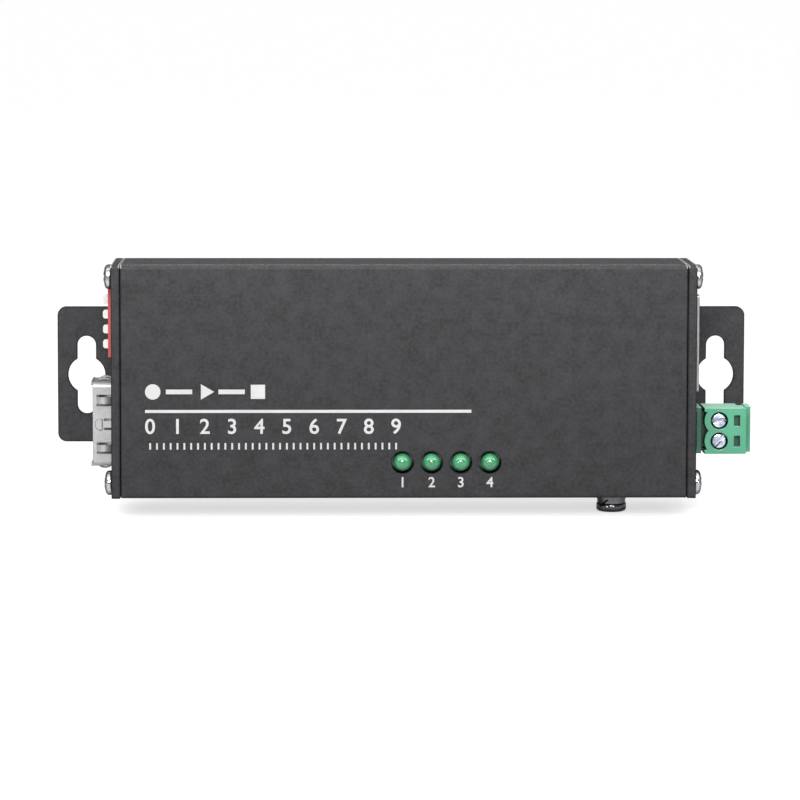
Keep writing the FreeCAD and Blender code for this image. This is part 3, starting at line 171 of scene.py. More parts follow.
@dataclass(frozen=True)
class Finish:
    """One real material with the way its surface was made.

    Attributes:
        name: Plain name of the material and its finish.
        slot: The record's material slot; not used.
        colour: sRGB hex of the plain surface.
        shade: sRGB hex that the colour varies towards.
        roughness: Middle roughness of the surface.
        spread: How far the roughness varies to each side.
        grain_mm: Width of one cell of the surface's grain.
        grain_depth_mm: Height of the grain.
        cloud_mm: Width of the broad tonal clouds.
        metallic: One for bare or plated metal.
        ior: Index of refraction of a plastic or paint.
        coat: Weight of a clear top layer.
        stretch: Stretch of the grain along X, Y and Z, for brushed and drawn surfaces.
        edge_mm: Radius of the edges rolled in the shading, and of their painted highlight and shade.
        edge_light: sRGB hex of the painted highlight on the edges that face up.
        light_from_mm: Height from which edges get the painted highlight.
        top_share: How much of the edges' painted highlight the level tops take on.
        edge_dark: How much of their lightness all other edges lose, as a painted shade.
        rim_dark: Lightness that the surface loses as a painted dark rim where it turns from the eye.
        cavity_mm: Reach of the painted shade in gaps and corners, which every finish has.
    """

    name: str
    slot: str
    colour: str
    shade: str
    roughness: float
    spread: float = 0.05
    grain_mm: float = 0.3
    grain_depth_mm: float = 0.01
    cloud_mm: float = 6.0
    metallic: float = 0.0
    ior: float = 1.5
    coat: float = 0.0
    stretch: tuple[float, float, float] = (1.0, 1.0, 1.0)
    edge_mm: float = 0.0
    edge_light: str = ""
    light_from_mm: float = -100.0
    top_share: float = 0.0
    edge_dark: float = 0.0
    rim_dark: float = 0.0
    cavity_mm: float = 0.9

    def build(self) -> bpy.types.Material:
        """Builds the material's node tree, once.

        Returns:
            The material, the same one for every piece of this finish.
        """
        known = bpy.data.materials.get(self.name)
        if known:
            return known
        material = bpy.data.materials.new(self.name)
        material.use_nodes = True
        tree = material.node_tree
        tree.nodes.clear()
        place = add_node(tree, "ShaderNodeTexCoord").outputs["Object"]
        mapped = add_node(tree, "ShaderNodeMapping", {"Vector": place, "Scale": self.stretch}).outputs[0]
        grain = add_node(tree, "ShaderNodeTexNoise", {
            "Vector": mapped, "Scale": per_metre(self.grain_mm),
            "Detail": GRAIN_DETAIL, "Roughness": GRAIN_ROUGHNESS,
        }).outputs[0]
        colour = self.toned(tree, mapped, grain)
        relief = {"Height": grain, "Distance": self.grain_depth_mm * MM, "Strength": 1.0}
        # Rolled edges in the shading, and on them a painted highlight and a painted shade.
        if self.edge_mm:
            rolled = add_node(tree, "ShaderNodeBevel", {
                "Radius": self.edge_mm * MM,
            }, samples=EDGE_SAMPLES).outputs[0]
            relief["Normal"] = rolled
            colour = self.edged(tree, colour, place, rolled)
        # A painted dark rim where the surface turns away from the eye.
        if self.rim_dark:
            colour = self.rimmed(tree, colour)
        rough = add_node(tree, "ShaderNodeMapRange", {
            "Value": grain, "From Min": GLOSS_SPAN[0], "From Max": GLOSS_SPAN[1],
            "To Min": self.roughness - self.spread, "To Max": self.roughness + self.spread,
        }).outputs[0]
        # The base colour gets a painted shade in gaps and corners.
        shader = add_node(tree, "ShaderNodeBsdfPrincipled", {
            "Base Color": self.shaded(tree, colour), "Roughness": rough, "Metallic": self.metallic,
            "Coat Weight": self.coat, "Coat Roughness": TOP_COAT_ROUGHNESS,
            "Normal": add_node(tree, "ShaderNodeBump", relief).outputs[0],
        })
        if not self.metallic:
            shader.inputs["IOR"].default_value = self.ior
        self.refine(tree, shader)
        add_node(tree, "ShaderNodeOutputMaterial", {"Surface": shader.outputs[0]})
        return material

    def toned(self, tree: bpy.types.NodeTree, mapped: bpy.types.NodeSocket,
              grain: bpy.types.NodeSocket) -> bpy.types.NodeSocket:
        """Varies the colour towards its shade, in clouds that the grain breaks up.

        Args:
            tree: The material's tree.
            mapped: Place on the piece, stretched as the surface is.
            grain: The surface's grain.

        Returns:
            Colour of the plain surface.
        """
        cloud = add_node(tree, "ShaderNodeTexNoise", {
            "Vector": mapped, "Scale": per_metre(self.cloud_mm), "Detail": CLOUD_DETAIL,
        }).outputs[0]
        both = add_node(tree, "ShaderNodeMath", {0: grain, 1: cloud}, operation="MULTIPLY").outputs[0]
        tone = add_node(tree, "ShaderNodeMapRange", {
            "Value": both, "From Min": TONE_SPAN[0], "From Max": TONE_SPAN[1],
        }).outputs[0]
        return add_node(tree, "ShaderNodeMix", {
            FACTOR: tone, FIRST: linear(self.colour), SECOND: linear(self.shade),
        }, data_type="RGBA").outputs[MIXED]

    def edged(self, tree: bpy.types.NodeTree, plain: bpy.types.NodeSocket, place: bpy.types.NodeSocket,
              rolled: bpy.types.NodeSocket) -> bpy.types.NodeSocket:
        """Paints a highlight on upward edges, a shade on other edges and a highlight on level tops.

        Args:
            tree: The material's tree.
            plain: Colour of the surface so far.
            place: Place on the piece.
            rolled: Normal with the edges rolled over.

        Returns:
            Colour of the surface with its painted edge highlight and shade.
        """
        flat = add_node(tree, "ShaderNodeNewGeometry").outputs["Normal"]
        same = add_node(tree, "ShaderNodeVectorMath", {
            0: rolled, 1: flat,
        }, operation="DOT_PRODUCT").outputs["Value"]
        edge = add_node(tree, "ShaderNodeMapRange", {
            "Value": same, "From Min": EDGE_SPAN[0], "From Max": EDGE_SPAN[1],
        }).outputs[0]
        rise = add_node(tree, "ShaderNodeSeparateXYZ", {0: rolled}).outputs["Z"]
        up = add_node(tree, "ShaderNodeMapRange", {
            "Value": rise, "From Min": UP_SPAN[0], "From Max": UP_SPAN[1],
        }).outputs[0]
        height = add_node(tree, "ShaderNodeSeparateXYZ", {0: place}).outputs["Z"]
        high = add_node(tree, "ShaderNodeMath", {
            0: height, 1: self.light_from_mm * MM,
        }, operation="GREATER_THAN").outputs[0]
        lit = add_node(tree, "ShaderNodeMath", {0: up, 1: high}, operation="MULTIPLY").outputs[0]
        # Painted shade on the edges, and a painted highlight on those that face up above the given height.
        edge_shade_colour = add_node(tree, "ShaderNodeMix", {
            FACTOR: self.edge_dark, FIRST: plain, SECOND: NO_LIGHT,
        }, data_type="RGBA").outputs[MIXED]
        light = linear(self.edge_light) if self.edge_light else edge_shade_colour
        # The level tops take on part of the painted highlight.
        if self.top_share:
            level = add_node(tree, "ShaderNodeMapRange", {
                "Value": rise, "From Min": LEVEL_SPAN[0], "From Max": LEVEL_SPAN[1], "To Max": self.top_share,
            }).outputs[0]
            plain = add_node(tree, "ShaderNodeMix", {
                FACTOR: level, FIRST: plain, SECOND: light,
            }, data_type="RGBA").outputs[MIXED]
        edge_marks = add_node(tree, "ShaderNodeMix", {
            FACTOR: lit, FIRST: edge_shade_colour, SECOND: light,
        }, data_type="RGBA").outputs[MIXED]
        return add_node(tree, "ShaderNodeMix", {
            FACTOR: edge, FIRST: plain, SECOND: edge_marks,
        }, data_type="RGBA").outputs[MIXED]

    def rimmed(self, tree: bpy.types.NodeTree, plain: bpy.types.NodeSocket) -> bpy.types.NodeSocket:
        """Paints a dark rim, a painted shade, where the surface turns away from the eye.

        Args:
            tree: The material's tree.
            plain: Colour of the surface so far.

        Returns:
            Colour of the surface with its painted dark rim.
        """
        away = add_node(tree, "ShaderNodeLayerWeight").outputs["Facing"]
        dark_rim_share = add_node(tree, "ShaderNodeMapRange", {
            "Value": away, "From Min": RIM_SPAN[0], "From Max": RIM_SPAN[1], "To Max": self.rim_dark,
        }).outputs[0]
        return add_node(tree, "ShaderNodeMix", {
            FACTOR: dark_rim_share, FIRST: plain, SECOND: NO_LIGHT,
        }, data_type="RGBA").outputs[MIXED]

    def shaded(self, tree: bpy.types.NodeTree, plain: bpy.types.NodeSocket) -> bpy.types.NodeSocket:
        """Paints shade into gaps and corners.

        Args:
            tree: The material's tree.
            plain: Colour of the surface so far.

        Returns:
            Colour of the surface with its painted gap shade.
        """
        open_share = add_node(tree, "ShaderNodeAmbientOcclusion", {
            "Distance": self.cavity_mm * MM,
        }, samples=GAP_SAMPLES).outputs["AO"]
        kept = add_node(tree, "ShaderNodeMapRange", {
            "Value": open_share, "From Min": OPEN_SPAN[0], "From Max": OPEN_SPAN[1], "To Min": GAP_LEFT,
        }).outputs[0]
        return add_node(tree, "ShaderNodeMix", {
            FACTOR: kept, FIRST: NO_LIGHT, SECOND: plain,
        }, data_type="RGBA").outputs[MIXED]

    def refine(self, tree: bpy.types.NodeTree, shader: bpy.types.Node) -> None:
        """Sets what only one kind of finish has; the plain finish has nothing more."""


@dataclass(frozen=True)
class TintedResin(Finish):
    """Clear epoxy with a dye in it, as lamps are cast from.

    Attributes:
        transmission: How clear the resin is.
        glow: sRGB hex of the painted light along the rim.
        glow_share: How much of the rim's colour the painted rim light makes up.
    """

    transmission: float = 0.1
    glow: str = "86d8aa"
    glow_share: float = 0.75

    def refine(self, tree: bpy.types.NodeTree, shader: bpy.types.Node) -> None:
        """Lets light into the resin and paints a light along the rim of the dome.

        Args:
            tree: The material's tree.
            shader: The material's shader.
        """
        shader.inputs["Transmission Weight"].default_value = self.transmission
        surface = shader.inputs["Base Color"].links[0].from_socket
        # The rim of the dome gets a painted light in its base colour.
        away = add_node(tree, "ShaderNodeLayerWeight").outputs["Facing"]
        ring = add_node(tree, "ShaderNodeMapRange", {
            "Value": away, "From Min": RING_SPAN[0], "From Max": RING_SPAN[1], "To Max": self.glow_share,
        }).outputs[0]
        rim_lit = add_node(tree, "ShaderNodeMix", {
            FACTOR: ring, FIRST: surface, SECOND: linear(self.glow),
        }, data_type="RGBA").outputs[MIXED]
        tree.links.new(rim_lit, shader.inputs["Base Color"])


# Extruded aluminium under a fine textured powder coat: a sandy, almost matt charcoal skin. A real coat's
# grain is about half as wide; this one is drawn as coarse as it needs to show. Its open structure mirrors
# less than smooth paint does, so its index of refraction is low. Its upper edges get a painted highlight,
# its other edges and its gaps a painted shade.
COAT = Finish(
    "aluminium_textured_powder_coat", "dark_coat", colour="3c3c3e", shade="303031", roughness=0.55,
    spread=0.12, grain_mm=0.6, grain_depth_mm=0.09, cloud_mm=2.4, ior=1.2, edge_mm=0.4,
    edge_light="f2f2f4", light_from_mm=15.0, edge_dark=0.75,
)
# The same coat on the flat wall plate, with a painted shade along its cut edges.
PLATE_COAT = Finish(
    "steel_textured_powder_coat", "dark_coat", colour="424244", shade="353537", roughness=0.55,
    spread=0.12, grain_mm=0.6, grain_depth_mm=0.09, cloud_mm=2.4, ior=1.2, edge_mm=0.45, edge_dark=0.9,
)
# Steel screws plated with bright nickel: mirror-like with faint turning marks. The rim is darkened as a
# painted reflection of the dark plate that the screw sits on.
NICKEL = Finish(
    "steel_bright_nickel_plate", "plated_steel", colour="c8c8ca", shade="9c9da1", roughness=0.11,
    spread=0.05, grain_mm=0.12, grain_depth_mm=0.002, cloud_mm=2.0, metallic=1.0, rim_dark=0.97,
)
# Steel screws of terminals, zinc plated and blue-passivated: white with a cool cast. Their edges get a
# painted shade.
ZINC = Finish(
    "steel_bright_zinc_plate", "plated_steel", colour="e4e8f2", shade="98a4c0", roughness=0.24,
    spread=0.06, grain_mm=0.5, grain_depth_mm=0.004, cloud_mm=0.9, metallic=1.0, edge_mm=0.12,
    edge_dark=0.8,
)
# Steel fasteners plated with black nickel: dark with sharp reflections.
BLACK_NICKEL = Finish(
    "steel_black_nickel_plate", "dark_steel", colour="6a6a6d", shade="505053", roughness=0.13,
    spread=0.06, grain_mm=0.15, grain_depth_mm=0.003, cloud_mm=2.0, metallic=1.0,
)
# Tinned sheet steel as rolled: light grey satin with drawn streaks along the sheet. Dulled tin scatters part
# of its light, hence a metallic share below one. Its edges get a painted shade, and a painted gap shade of
# long reach darkens the cage's inside.
TINNED = Finish(
    "sheet_steel_tin_plate", "cage_metal", colour="b4b4b4", shade="9a9a9b", roughness=0.38, spread=0.08,
    grain_mm=0.2, grain_depth_mm=0.003, cloud_mm=4.0, metallic=0.8, stretch=(0.2, 1.0, 1.0), edge_mm=0.14,
    edge_dark=0.85, cavity_mm=16.0,
)
# Spring steel with a tin plate: a finer grain and a weaker mirror than the cage under it. A strong
# painted shade on its edges darkens the slits.
SPRING = Finish(
    "spring_steel_bright_tin_plate", "spring_metal", colour="b4b4b4", shade="9c9c9d", roughness=0.42,
    spread=0.06, grain_mm=0.2, grain_depth_mm=0.002, cloud_mm=3.0, metallic=0.6, stretch=(0.2, 1.0, 1.0),
    edge_mm=0.12, edge_dark=0.97, cavity_mm=0.4,
)
# Moulded polyester, semi-gloss: the red body of the switch.
RED = Finish(
    "moulded_red_polyester", "red_plastic", colour="d0585a", shade="ba494a", roughness=0.36, spread=0.05,
    grain_mm=0.25, grain_depth_mm=0.004, cloud_mm=5.0, edge_mm=0.08,
)
# Moulded white nylon: soft satin sliders.
WHITE = Finish(
    "moulded_white_nylon", "white_plastic", colour="f0f0ec", shade="dededa", roughness=0.4, spread=0.05,
    grain_mm=0.25, grain_depth_mm=0.004, cloud_mm=4.0, edge_mm=0.08,
)
# Black moulded polyamide with a fine spark-eroded surface.
BLACK = Finish(
    "moulded_black_polyamide", "black_plastic", colour="1b1b1c", shade="121213", roughness=0.48,
    spread=0.06, grain_mm=0.2, grain_depth_mm=0.006, cloud_mm=4.0,
)
# Green moulded polyamide of plug-in terminals: satin, with a faint flow pattern. Its upward edges and level
# tops get a painted highlight, its other edges and its gaps a painted shade.
GREEN = Finish(
    "moulded_green_polyamide", "terminal_green", colour="54a884", shade="469273", roughness=0.38,
    spread=0.05, grain_mm=0.25, grain_depth_mm=0.005, cloud_mm=5.0, edge_mm=0.12, edge_light="bcf2da",
    top_share=0.9, edge_dark=0.6, cavity_mm=3.0,
)
# The header's body is the same moulding with a darker colour, a painted shade, as it lies in the plug's
# shade.
SHADED_GREEN = replace(
    GREEN, name="moulded_deep_green_polyamide", colour="3b7c60", shade="306a51", edge_light="b0ead0",
)
# Gold flash on phosphor bronze contacts.
GOLD = Finish(
    "bronze_gold_flash", "gold_contact", colour="e2b45c", shade="cf9f49", roughness=0.22, spread=0.05,
    grain_mm=0.1, grain_depth_mm=0.001, cloud_mm=2.0, metallic=1.0,
)
# Tin plate on brass and copper legs.
TIN = Finish(
    "copper_alloy_tin_plate", "tin_contact", colour="c9c9cb", shade="adadb0", roughness=0.3, spread=0.07,
    grain_mm=0.12, grain_depth_mm=0.002, cloud_mm=2.0, metallic=1.0,
)
# Solder mask over glass epoxy, glossy with the weave just showing.
MASK = Finish(
    "glass_epoxy_green_solder_mask", "board_green", colour="14502c", shade="0f4024", roughness=0.28,
    spread=0.06, grain_mm=0.4, grain_depth_mm=0.006, cloud_mm=12.0,
)
# Epoxy mould compound of chips.
EPOXY = Finish(
    "black_epoxy_mould_compound", "chip_black", colour="222224", shade="19191b", roughness=0.5,
    spread=0.06, grain_mm=0.1, grain_depth_mm=0.004, cloud_mm=3.0,
)
# Sintered ferrite, dull and slightly porous.
FERRITE = Finish(
    "sintered_ferrite", "ferrite", colour="3a3a3b", shade="2c2c2d", roughness=0.6, spread=0.08,
    grain_mm=0.15, grain_depth_mm=0.01, cloud_mm=2.0,
)
# Drawn aluminium can.
CAN = Finish(
    "drawn_aluminium", "can_aluminium", colour="c4c5c8", shade="aeafb3", roughness=0.28, spread=0.07,
    grain_mm=0.15, grain_depth_mm=0.002, cloud_mm=3.0, metallic=1.0, stretch=(1.0, 0.2, 1.0),
)
# Screen-printed white epoxy ink, a few hundredths of a millimetre thick.
INK = Finish(
    "screen_printed_white_ink", "white_plastic", colour="cacaca", shade="bebebe", roughness=0.5,
    spread=0.05, grain_mm=0.2, grain_depth_mm=0.002, cloud_mm=5.0,
)
# Green dyed epoxy of the status lamps, with a painted light along the rim of each dome.
LENS = TintedResin(
    "cast_green_epoxy", "green_lens", colour="3fa06c", shade="338c5b", roughness=0.05, spread=0.01,
    grain_mm=0.5, grain_depth_mm=0.0005, cloud_mm=3.0, coat=0.8,
)


# ---- Mesh helpers ----------------------------------------------------------------------------------

def new_piece(name: str, mesh: bpy.types.Mesh, finish: Finish, body: str, *nodes: str) -> bpy.types.Object:
    """Makes a finished piece of the object.

    Args:
        name: Name of the piece.
        mesh: Its mesh, placed in the model's frame.
        finish: What it is made of.
        body: The body that it rides on.
        *nodes: Construction nodes that it stands for.

    Returns:
        The new object, at the origin.
    """
    piece = bpy.data.objects.new(name, mesh)
    bpy.context.scene.collection.objects.link(piece)
    mesh.materials.clear()
    mesh.materials.append(finish.build())
    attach(piece, body)
    if nodes:
        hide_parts(*nodes)
    LOG.info("piece %s on %s: %d faces", name, body, len(mesh.polygons))
    return piece


def mesh_of(work: bmesh.types.BMesh, name: str) -> bpy.types.Mesh:
    """Turns a bmesh into a mesh with smooth faces and sharp edges.

    Args:
        work: The bmesh, which is freed.
        name: Name of the mesh.

    Returns:
        The new mesh.
    """
    bmesh.ops.recalc_face_normals(work, faces=work.faces)
    for face in work.faces:
        face.smooth = True
    limit = math.radians(SMOOTH_ANGLE)
    for edge in work.edges:
        edge.smooth = len(edge.link_faces) == 2 and edge.calc_face_angle(math.pi) < limit
    mesh = bpy.data.meshes.new(name)
    work.to_mesh(mesh)
    work.free()
    return mesh


def lathe(work: bmesh.types.BMesh, profile: list[tuple[float, float]], steps: int, place: Matrix) -> None:
    """Revolves a profile round local Z into a closed form.

    Args:
        work: The bmesh that gets the form.
        profile: Radius and height pairs from the bottom to the top; the first and last close on the axis.
        steps: Number of steps round the axis.
        place: Where the form goes.
    """
    rings = []
    for radius, height in profile:
        ring = []
        for step in range(steps):
            angle = 2 * math.pi * step / steps
            spot = Vector((radius * math.cos(angle), radius * math.sin(angle), height))
            ring.append(work.verts.new(place @ spot))
        rings.append(ring)
    for low, high in zip(rings, rings[1:]):
        for step in range(steps):
            after = (step + 1) % steps
            work.faces.new((low[step], low[after], high[after], high[step]))
    work.faces.new(list(reversed(rings[0])))
    work.faces.new(rings[-1])


# Edges that turn less than this many degrees are taken out of a flat area before its edges are rolled.
FLAT_ANGLE = 1.0
# Edges that turn more than this many degrees are rolled.
ROLL_ANGLE = 40.0


def softened(node: str, name: str, finish: Finish, body: str, radius_mm: float) -> bpy.types.Object:
    """Stands a copy of a construction node in for it, with its sharp edges rolled over.

    Args:
        node: The construction node.
        name: Name of the new piece.
        finish: What it is made of.
        body: The body that it rides on.
        radius_mm: Radius of the rolled edges.

    Returns:
        The new piece.
    """
    work = bmesh.new()
    work.from_mesh(bpy.data.objects[node].data)
    bmesh.ops.remove_doubles(work, verts=work.verts, dist=WELD)
    bmesh.ops.dissolve_limit(work, angle_limit=math.radians(FLAT_ANGLE), verts=work.verts, edges=work.edges)
    mesh = mesh_of(work, name)
    holder = bpy.data.objects.new(name + "_work", mesh)
    bpy.context.scene.collection.objects.link(holder)
    edge = holder.modifiers.new("rolled_edge", "BEVEL")
    edge.width = radius_mm * MM
    edge.segments = ROLL_STEPS
    edge.limit_method = "ANGLE"
    edge.angle_limit = math.radians(ROLL_ANGLE)
    edge.harden_normals = True
    graph = bpy.context.evaluated_depsgraph_get()
    result = bpy.data.meshes.new_from_object(holder.evaluated_get(graph))
    result.name = name
    bpy.data.objects.remove(holder)
    return new_piece(name, result, finish, body, node)


def dress(node: str, finish: Finish) -> None:
    """Gives a construction node its finish.

    Args:
        node: The construction node.
        finish: What it is made of.
    """
    mesh = bpy.data.objects[node].data
    mesh.materials.clear()
    mesh.materials.append(finish.build())


def dress_all(nodes: Iterable[str], finish: Finish) -> None:
    """Gives several construction nodes one finish."""
    for node in nodes:
        dress(node, finish)


def solids_of(node: str) -> list[tuple[Vector, Vector]]:
    """Boxes of the separate solids in a construction node.

    Args:
        node: The construction node.

    Returns:
        Lowest and highest corner of each solid, ordered by place.
    """
    work = bmesh.new()
    work.from_mesh(bpy.data.objects[node].data)
    bmesh.ops.remove_doubles(work, verts=work.verts, dist=WELD)
    left = set(work.verts)
    boxes = []
    while left:
        stack = [left.pop()]
        found = list(stack)
        while stack:
            for edge in stack.pop().link_edges:
                for vert in edge.verts:
                    if vert in left:
                        left.remove(vert)
                        stack.append(vert)
                        found.append(vert)
        low = Vector([min(v.co[k] for v in found) for k in range(3)])
        high = Vector([max(v.co[k] for v in found) for k in range(3)])
        boxes.append((low, high))
    work.free()
    return sorted(boxes, key=lambda pair: tuple(round(c, 5) for c in pair[0]))


# ---- Studio ----------------------------------------------------------------------------------------

@dataclass
class SoftLight:
    """One rectangular soft light, aimed at a point.

    Attributes:
        name: Name of the light.
        place: Where it hangs, in metres.
        aim: The point that it faces, in metres.
        width: Length of its level side, in metres.
        height: Length of its other side, in metres.
        power: Its power, in watts.
    """

    name: str
    place: tuple[float, float, float]
    aim: tuple[float, float, float]
    width: float
    height: float
    power: float

    def build(self) -> None:
        """Adds the light to the scene."""
        data = bpy.data.lights.new(self.name, "AREA")
        data.shape = "RECTANGLE"
        data.size = self.width
        data.size_y = self.height
        data.energy = self.power
        light = bpy.data.objects.new(self.name, data)
        light.visible_camera = False
        light.location = self.place
        light.rotation_euler = (Vector(self.aim) - Vector(self.place)).to_track_quat("-Z", "Y").to_euler()
        bpy.context.scene.collection.objects.link(light)


@dataclass
class SkyLight:
    """One far, wide light that falls evenly on the unit and the whole floor.

    Attributes:
        name: Name of the light.
        direction: The way its light goes.
        spread: How wide the light looks from the unit, in degrees.
        strength: Its power on each square metre, in watts.
    """

    name: str
    direction: tuple[float, float, float]
    spread: float
    strength: float

    def build(self) -> None:
        """Adds the light to the scene."""
        data = bpy.data.lights.new(self.name, "SUN")
        data.angle = math.radians(self.spread)
        data.energy = self.strength
        light = bpy.data.objects.new(self.name, data)
        light.rotation_euler = Vector(self.direction).to_track_quat("-Z", "Y").to_euler()
        bpy.context.scene.collection.objects.link(light)


@dataclass
class Studio:
    """Camera, lights, floor and surroundings.

    Attributes:
        camera_place: The camera's place, in metres.
        pitch: How far the camera looks down, in degrees.
        yaw: How far the camera turns to its left, in degrees.
        roll: How far the camera leans, in degrees.
        lens: Focal length, in millimetres.
        sensor: Width of the camera's sensor, in millimetres.
        clip: Nearest and farthest distance that the camera sees, in metres.
        fill: Strength of the surroundings' light on the unit.
        ceiling_rise: Upward part of a mirrored ray, from under the bright ceiling to fully in it.
        ceiling_glow: Brightness of the mirrored surroundings at the two ends of that span.
        wall_side: Sideward part of a mirrored ray, from beside the pale walls to fully in them.
        wall_glow: Brightness of the mirrored surroundings at the two ends of that span.
        floor_size: Length of the floor's sides, in metres.
        floor_grey: Lightness of the floor's own surface.
        floor_lift: Brightness that the floor shows on top of its lit colour.
        floor_bounce: Share of its light that the floor sends up onto the unit.
        floor_mirrored: Share of the lift that a reflection of the floor shows.
        lights: The lamps and strips round the unit.
    """

    camera_place: tuple[float, float, float] = (-0.01703, -0.74577, 0.06695)
    pitch: float = 5.516
    yaw: float = -1.2914
    roll: float = 0.08
    lens: float = 194.37
    sensor: float = 36.0
    clip: Span = (0.01, 200.0)
    fill: float = 0.12
    ceiling_rise: Span = (0.05, 0.6)
    ceiling_glow: Span = (0.06, 1.0)
    wall_side: Span = (0.45, 0.85)
    wall_glow: Span = (0.06, 0.6)
    floor_size: float = 60.0
    floor_grey: float = 0.95
    floor_lift: float = 0.652
    floor_bounce: float = 0.25
    floor_mirrored: float = 0.2
    lights: list[SoftLight | SkyLight] = field(default_factory=lambda: [
        SoftLight("overhead_strip", (0.0, -0.1, 0.6), (0.0, -0.02, 0.0), width=1.6, height=0.22, power=1.1),
        SoftLight("near_front_strip", (0.0, -0.068, 0.052), (0.0, -0.02, 0.005), width=0.32, height=0.03,
                  power=0.125),
        SoftLight("left_lamp", (-0.265, -0.42, 0.045), (0.0, -0.02, 0.0), width=0.03, height=0.03, power=0.2),
        SoftLight("right_lamp", (0.163, -0.47, 0.05), (0.0, -0.02, 0.0), width=0.03, height=0.03, power=0.2),
        SkyLight("front_sky", (0.08, 1.0, -0.41), spread=25.0, strength=2.0),
    ])

    def build(self, floor_height: float) -> None:
        """Builds the whole studio.

        Args:
            floor_height: Height of the floor, in metres.
        """
        self.build_camera()
        self.build_world()
        self.build_floor(floor_height)
        for light in self.lights:
            light.build()
        bpy.context.scene.view_settings.view_transform = "Standard"

    def build_camera(self) -> None:
        """Adds the camera."""
        data = bpy.data.cameras.new("camera")
        data.lens = self.lens
        data.sensor_width = self.sensor
        data.clip_start, data.clip_end = self.clip
        camera = bpy.data.objects.new("camera", data)
        camera.location = self.camera_place
        look = Euler((math.radians(90 - self.pitch), 0, math.radians(self.yaw)), "XYZ").to_matrix()
        camera.rotation_euler = (look @ Matrix.Rotation(math.radians(self.roll), 3, "Z")).to_euler()
        bpy.context.scene.collection.objects.link(camera)
        bpy.context.scene.camera = camera

    def build_world(self) -> None:
        """Adds surroundings that are white to the eye, varied in reflections and a plain fill otherwise."""
        world = bpy.data.worlds.new("studio")
        world.use_nodes = True
        tree = world.node_tree
        tree.nodes.clear()
        path = add_node(tree, "ShaderNodeLightPath").outputs
        fill, mirrored, seen = (
            add_node(tree, "ShaderNodeBackground", {"Color": FULL_LIGHT, "Strength": strength}).outputs[0]
            for strength in (self.fill, self.mirrored_glow(tree), 1.0)
        )
        glossy = add_node(tree, "ShaderNodeMixShader", {0: path["Is Glossy Ray"], 1: fill, 2: mirrored})
        clear = add_node(tree, "ShaderNodeMath", {
            0: path["Is Camera Ray"], 1: path["Is Transmission Ray"],
        }, operation="MAXIMUM")
        share = add_node(tree, "ShaderNodeMixShader", {0: clear.outputs[0], 1: glossy.outputs[0], 2: seen})
        add_node(tree, "ShaderNodeOutputWorld", {"Surface": share.outputs[0]})
        bpy.context.scene.world = world

    def mirrored_glow(self, tree: bpy.types.NodeTree) -> bpy.types.NodeSocket:
        """Gives reflections a bright ceiling, pale side walls and a dim back.

        Args:
            tree: The world's tree.

        Returns:
            Brightness of the mirrored surroundings.
        """
        way = add_node(tree, "ShaderNodeTexCoord").outputs["Generated"]
        parts = add_node(tree, "ShaderNodeSeparateXYZ", {0: way}).outputs
        aside = add_node(tree, "ShaderNodeMath", {0: parts["X"]}, operation="ABSOLUTE").outputs[0]
        ceiling, walls = (
            add_node(tree, "ShaderNodeMapRange", {
                "Value": part, "From Min": span[0], "From Max": span[1], "To Min": glow[0], "To Max": glow[1],
            }).outputs[0]
            for part, span, glow in (
                (parts["Z"], self.ceiling_rise, self.ceiling_glow), (aside, self.wall_side, self.wall_glow),
            )
        )
        return add_node(tree, "ShaderNodeMath", {0: ceiling, 1: walls}, operation="MAXIMUM").outputs[0]

    def shown_share(self, tree: bpy.types.NodeTree) -> bpy.types.NodeSocket:
        """Picks the rays that show the floor directly or through glass, and weakens its reflections.

        Args:
            tree: The floor's tree.

        Returns:
            Share of the floor's lift that a ray shows.
        """
        path = add_node(tree, "ShaderNodeLightPath").outputs
        glossy = add_node(tree, "ShaderNodeMath", {
            0: path["Is Glossy Ray"], 1: self.floor_mirrored,
        }, operation="MULTIPLY")
        first = add_node(tree, "ShaderNodeMath", {
            0: path["Is Camera Ray"], 1: glossy.outputs[0],
        }, operation="MAXIMUM")
        return add_node(tree, "ShaderNodeMath", {
            0: first.outputs[0], 1: path["Is Transmission Ray"],
        }, operation="MAXIMUM").outputs[0]

    def build_floor(self, height: float) -> None:
        """Adds a plain white floor that keeps the unit's soft shadow.

        Args:
            height: Height of the floor, in metres.
        """
        material = bpy.data.materials.new("studio_floor")
        material.use_nodes = True
        tree = material.node_tree
        tree.nodes.clear()
        lit, bounced = ((*[self.floor_grey * share] * 3, 1.0) for share in (1.0, self.floor_bounce))
        bounce = add_node(tree, "ShaderNodeLightPath").outputs["Is Diffuse Ray"]
        grey = add_node(tree, "ShaderNodeMix", {
            FACTOR: bounce, FIRST: lit, SECOND: bounced,
        }, data_type="RGBA").outputs[MIXED]
        matt = add_node(tree, "ShaderNodeBsdfDiffuse", {"Color": grey})
        lift = add_node(tree, "ShaderNodeEmission", {"Color": FULL_LIGHT, "Strength": self.floor_lift})
        none = add_node(tree, "ShaderNodeEmission", {"Strength": 0.0})
        chosen = add_node(tree, "ShaderNodeMixShader", {
            0: self.shown_share(tree), 1: none.outputs[0], 2: lift.outputs[0],
        })
        both = add_node(tree, "ShaderNodeAddShader", {0: matt.outputs[0], 1: chosen.outputs[0]})
        add_node(tree, "ShaderNodeOutputMaterial", {"Surface": both.outputs[0]})
        half = self.floor_size / 2
        mesh = bpy.data.meshes.new("floor")
        corners = [(-half, -half, height), (half, -half, height), (half, half, height), (-half, half, height)]
        mesh.from_pydata(corners, [], [(0, 1, 2, 3)])
        mesh.materials.append(material)
        floor = bpy.data.objects.new("floor", mesh)
        bpy.context.scene.collection.objects.link(floor)
        floor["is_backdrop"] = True


# ---- Screws ----------------------------------------------------------------------------------------

class Recess(Enum):
    """Kinds of driver recess."""

    CROSS = "cross"
    SLOT = "slot"


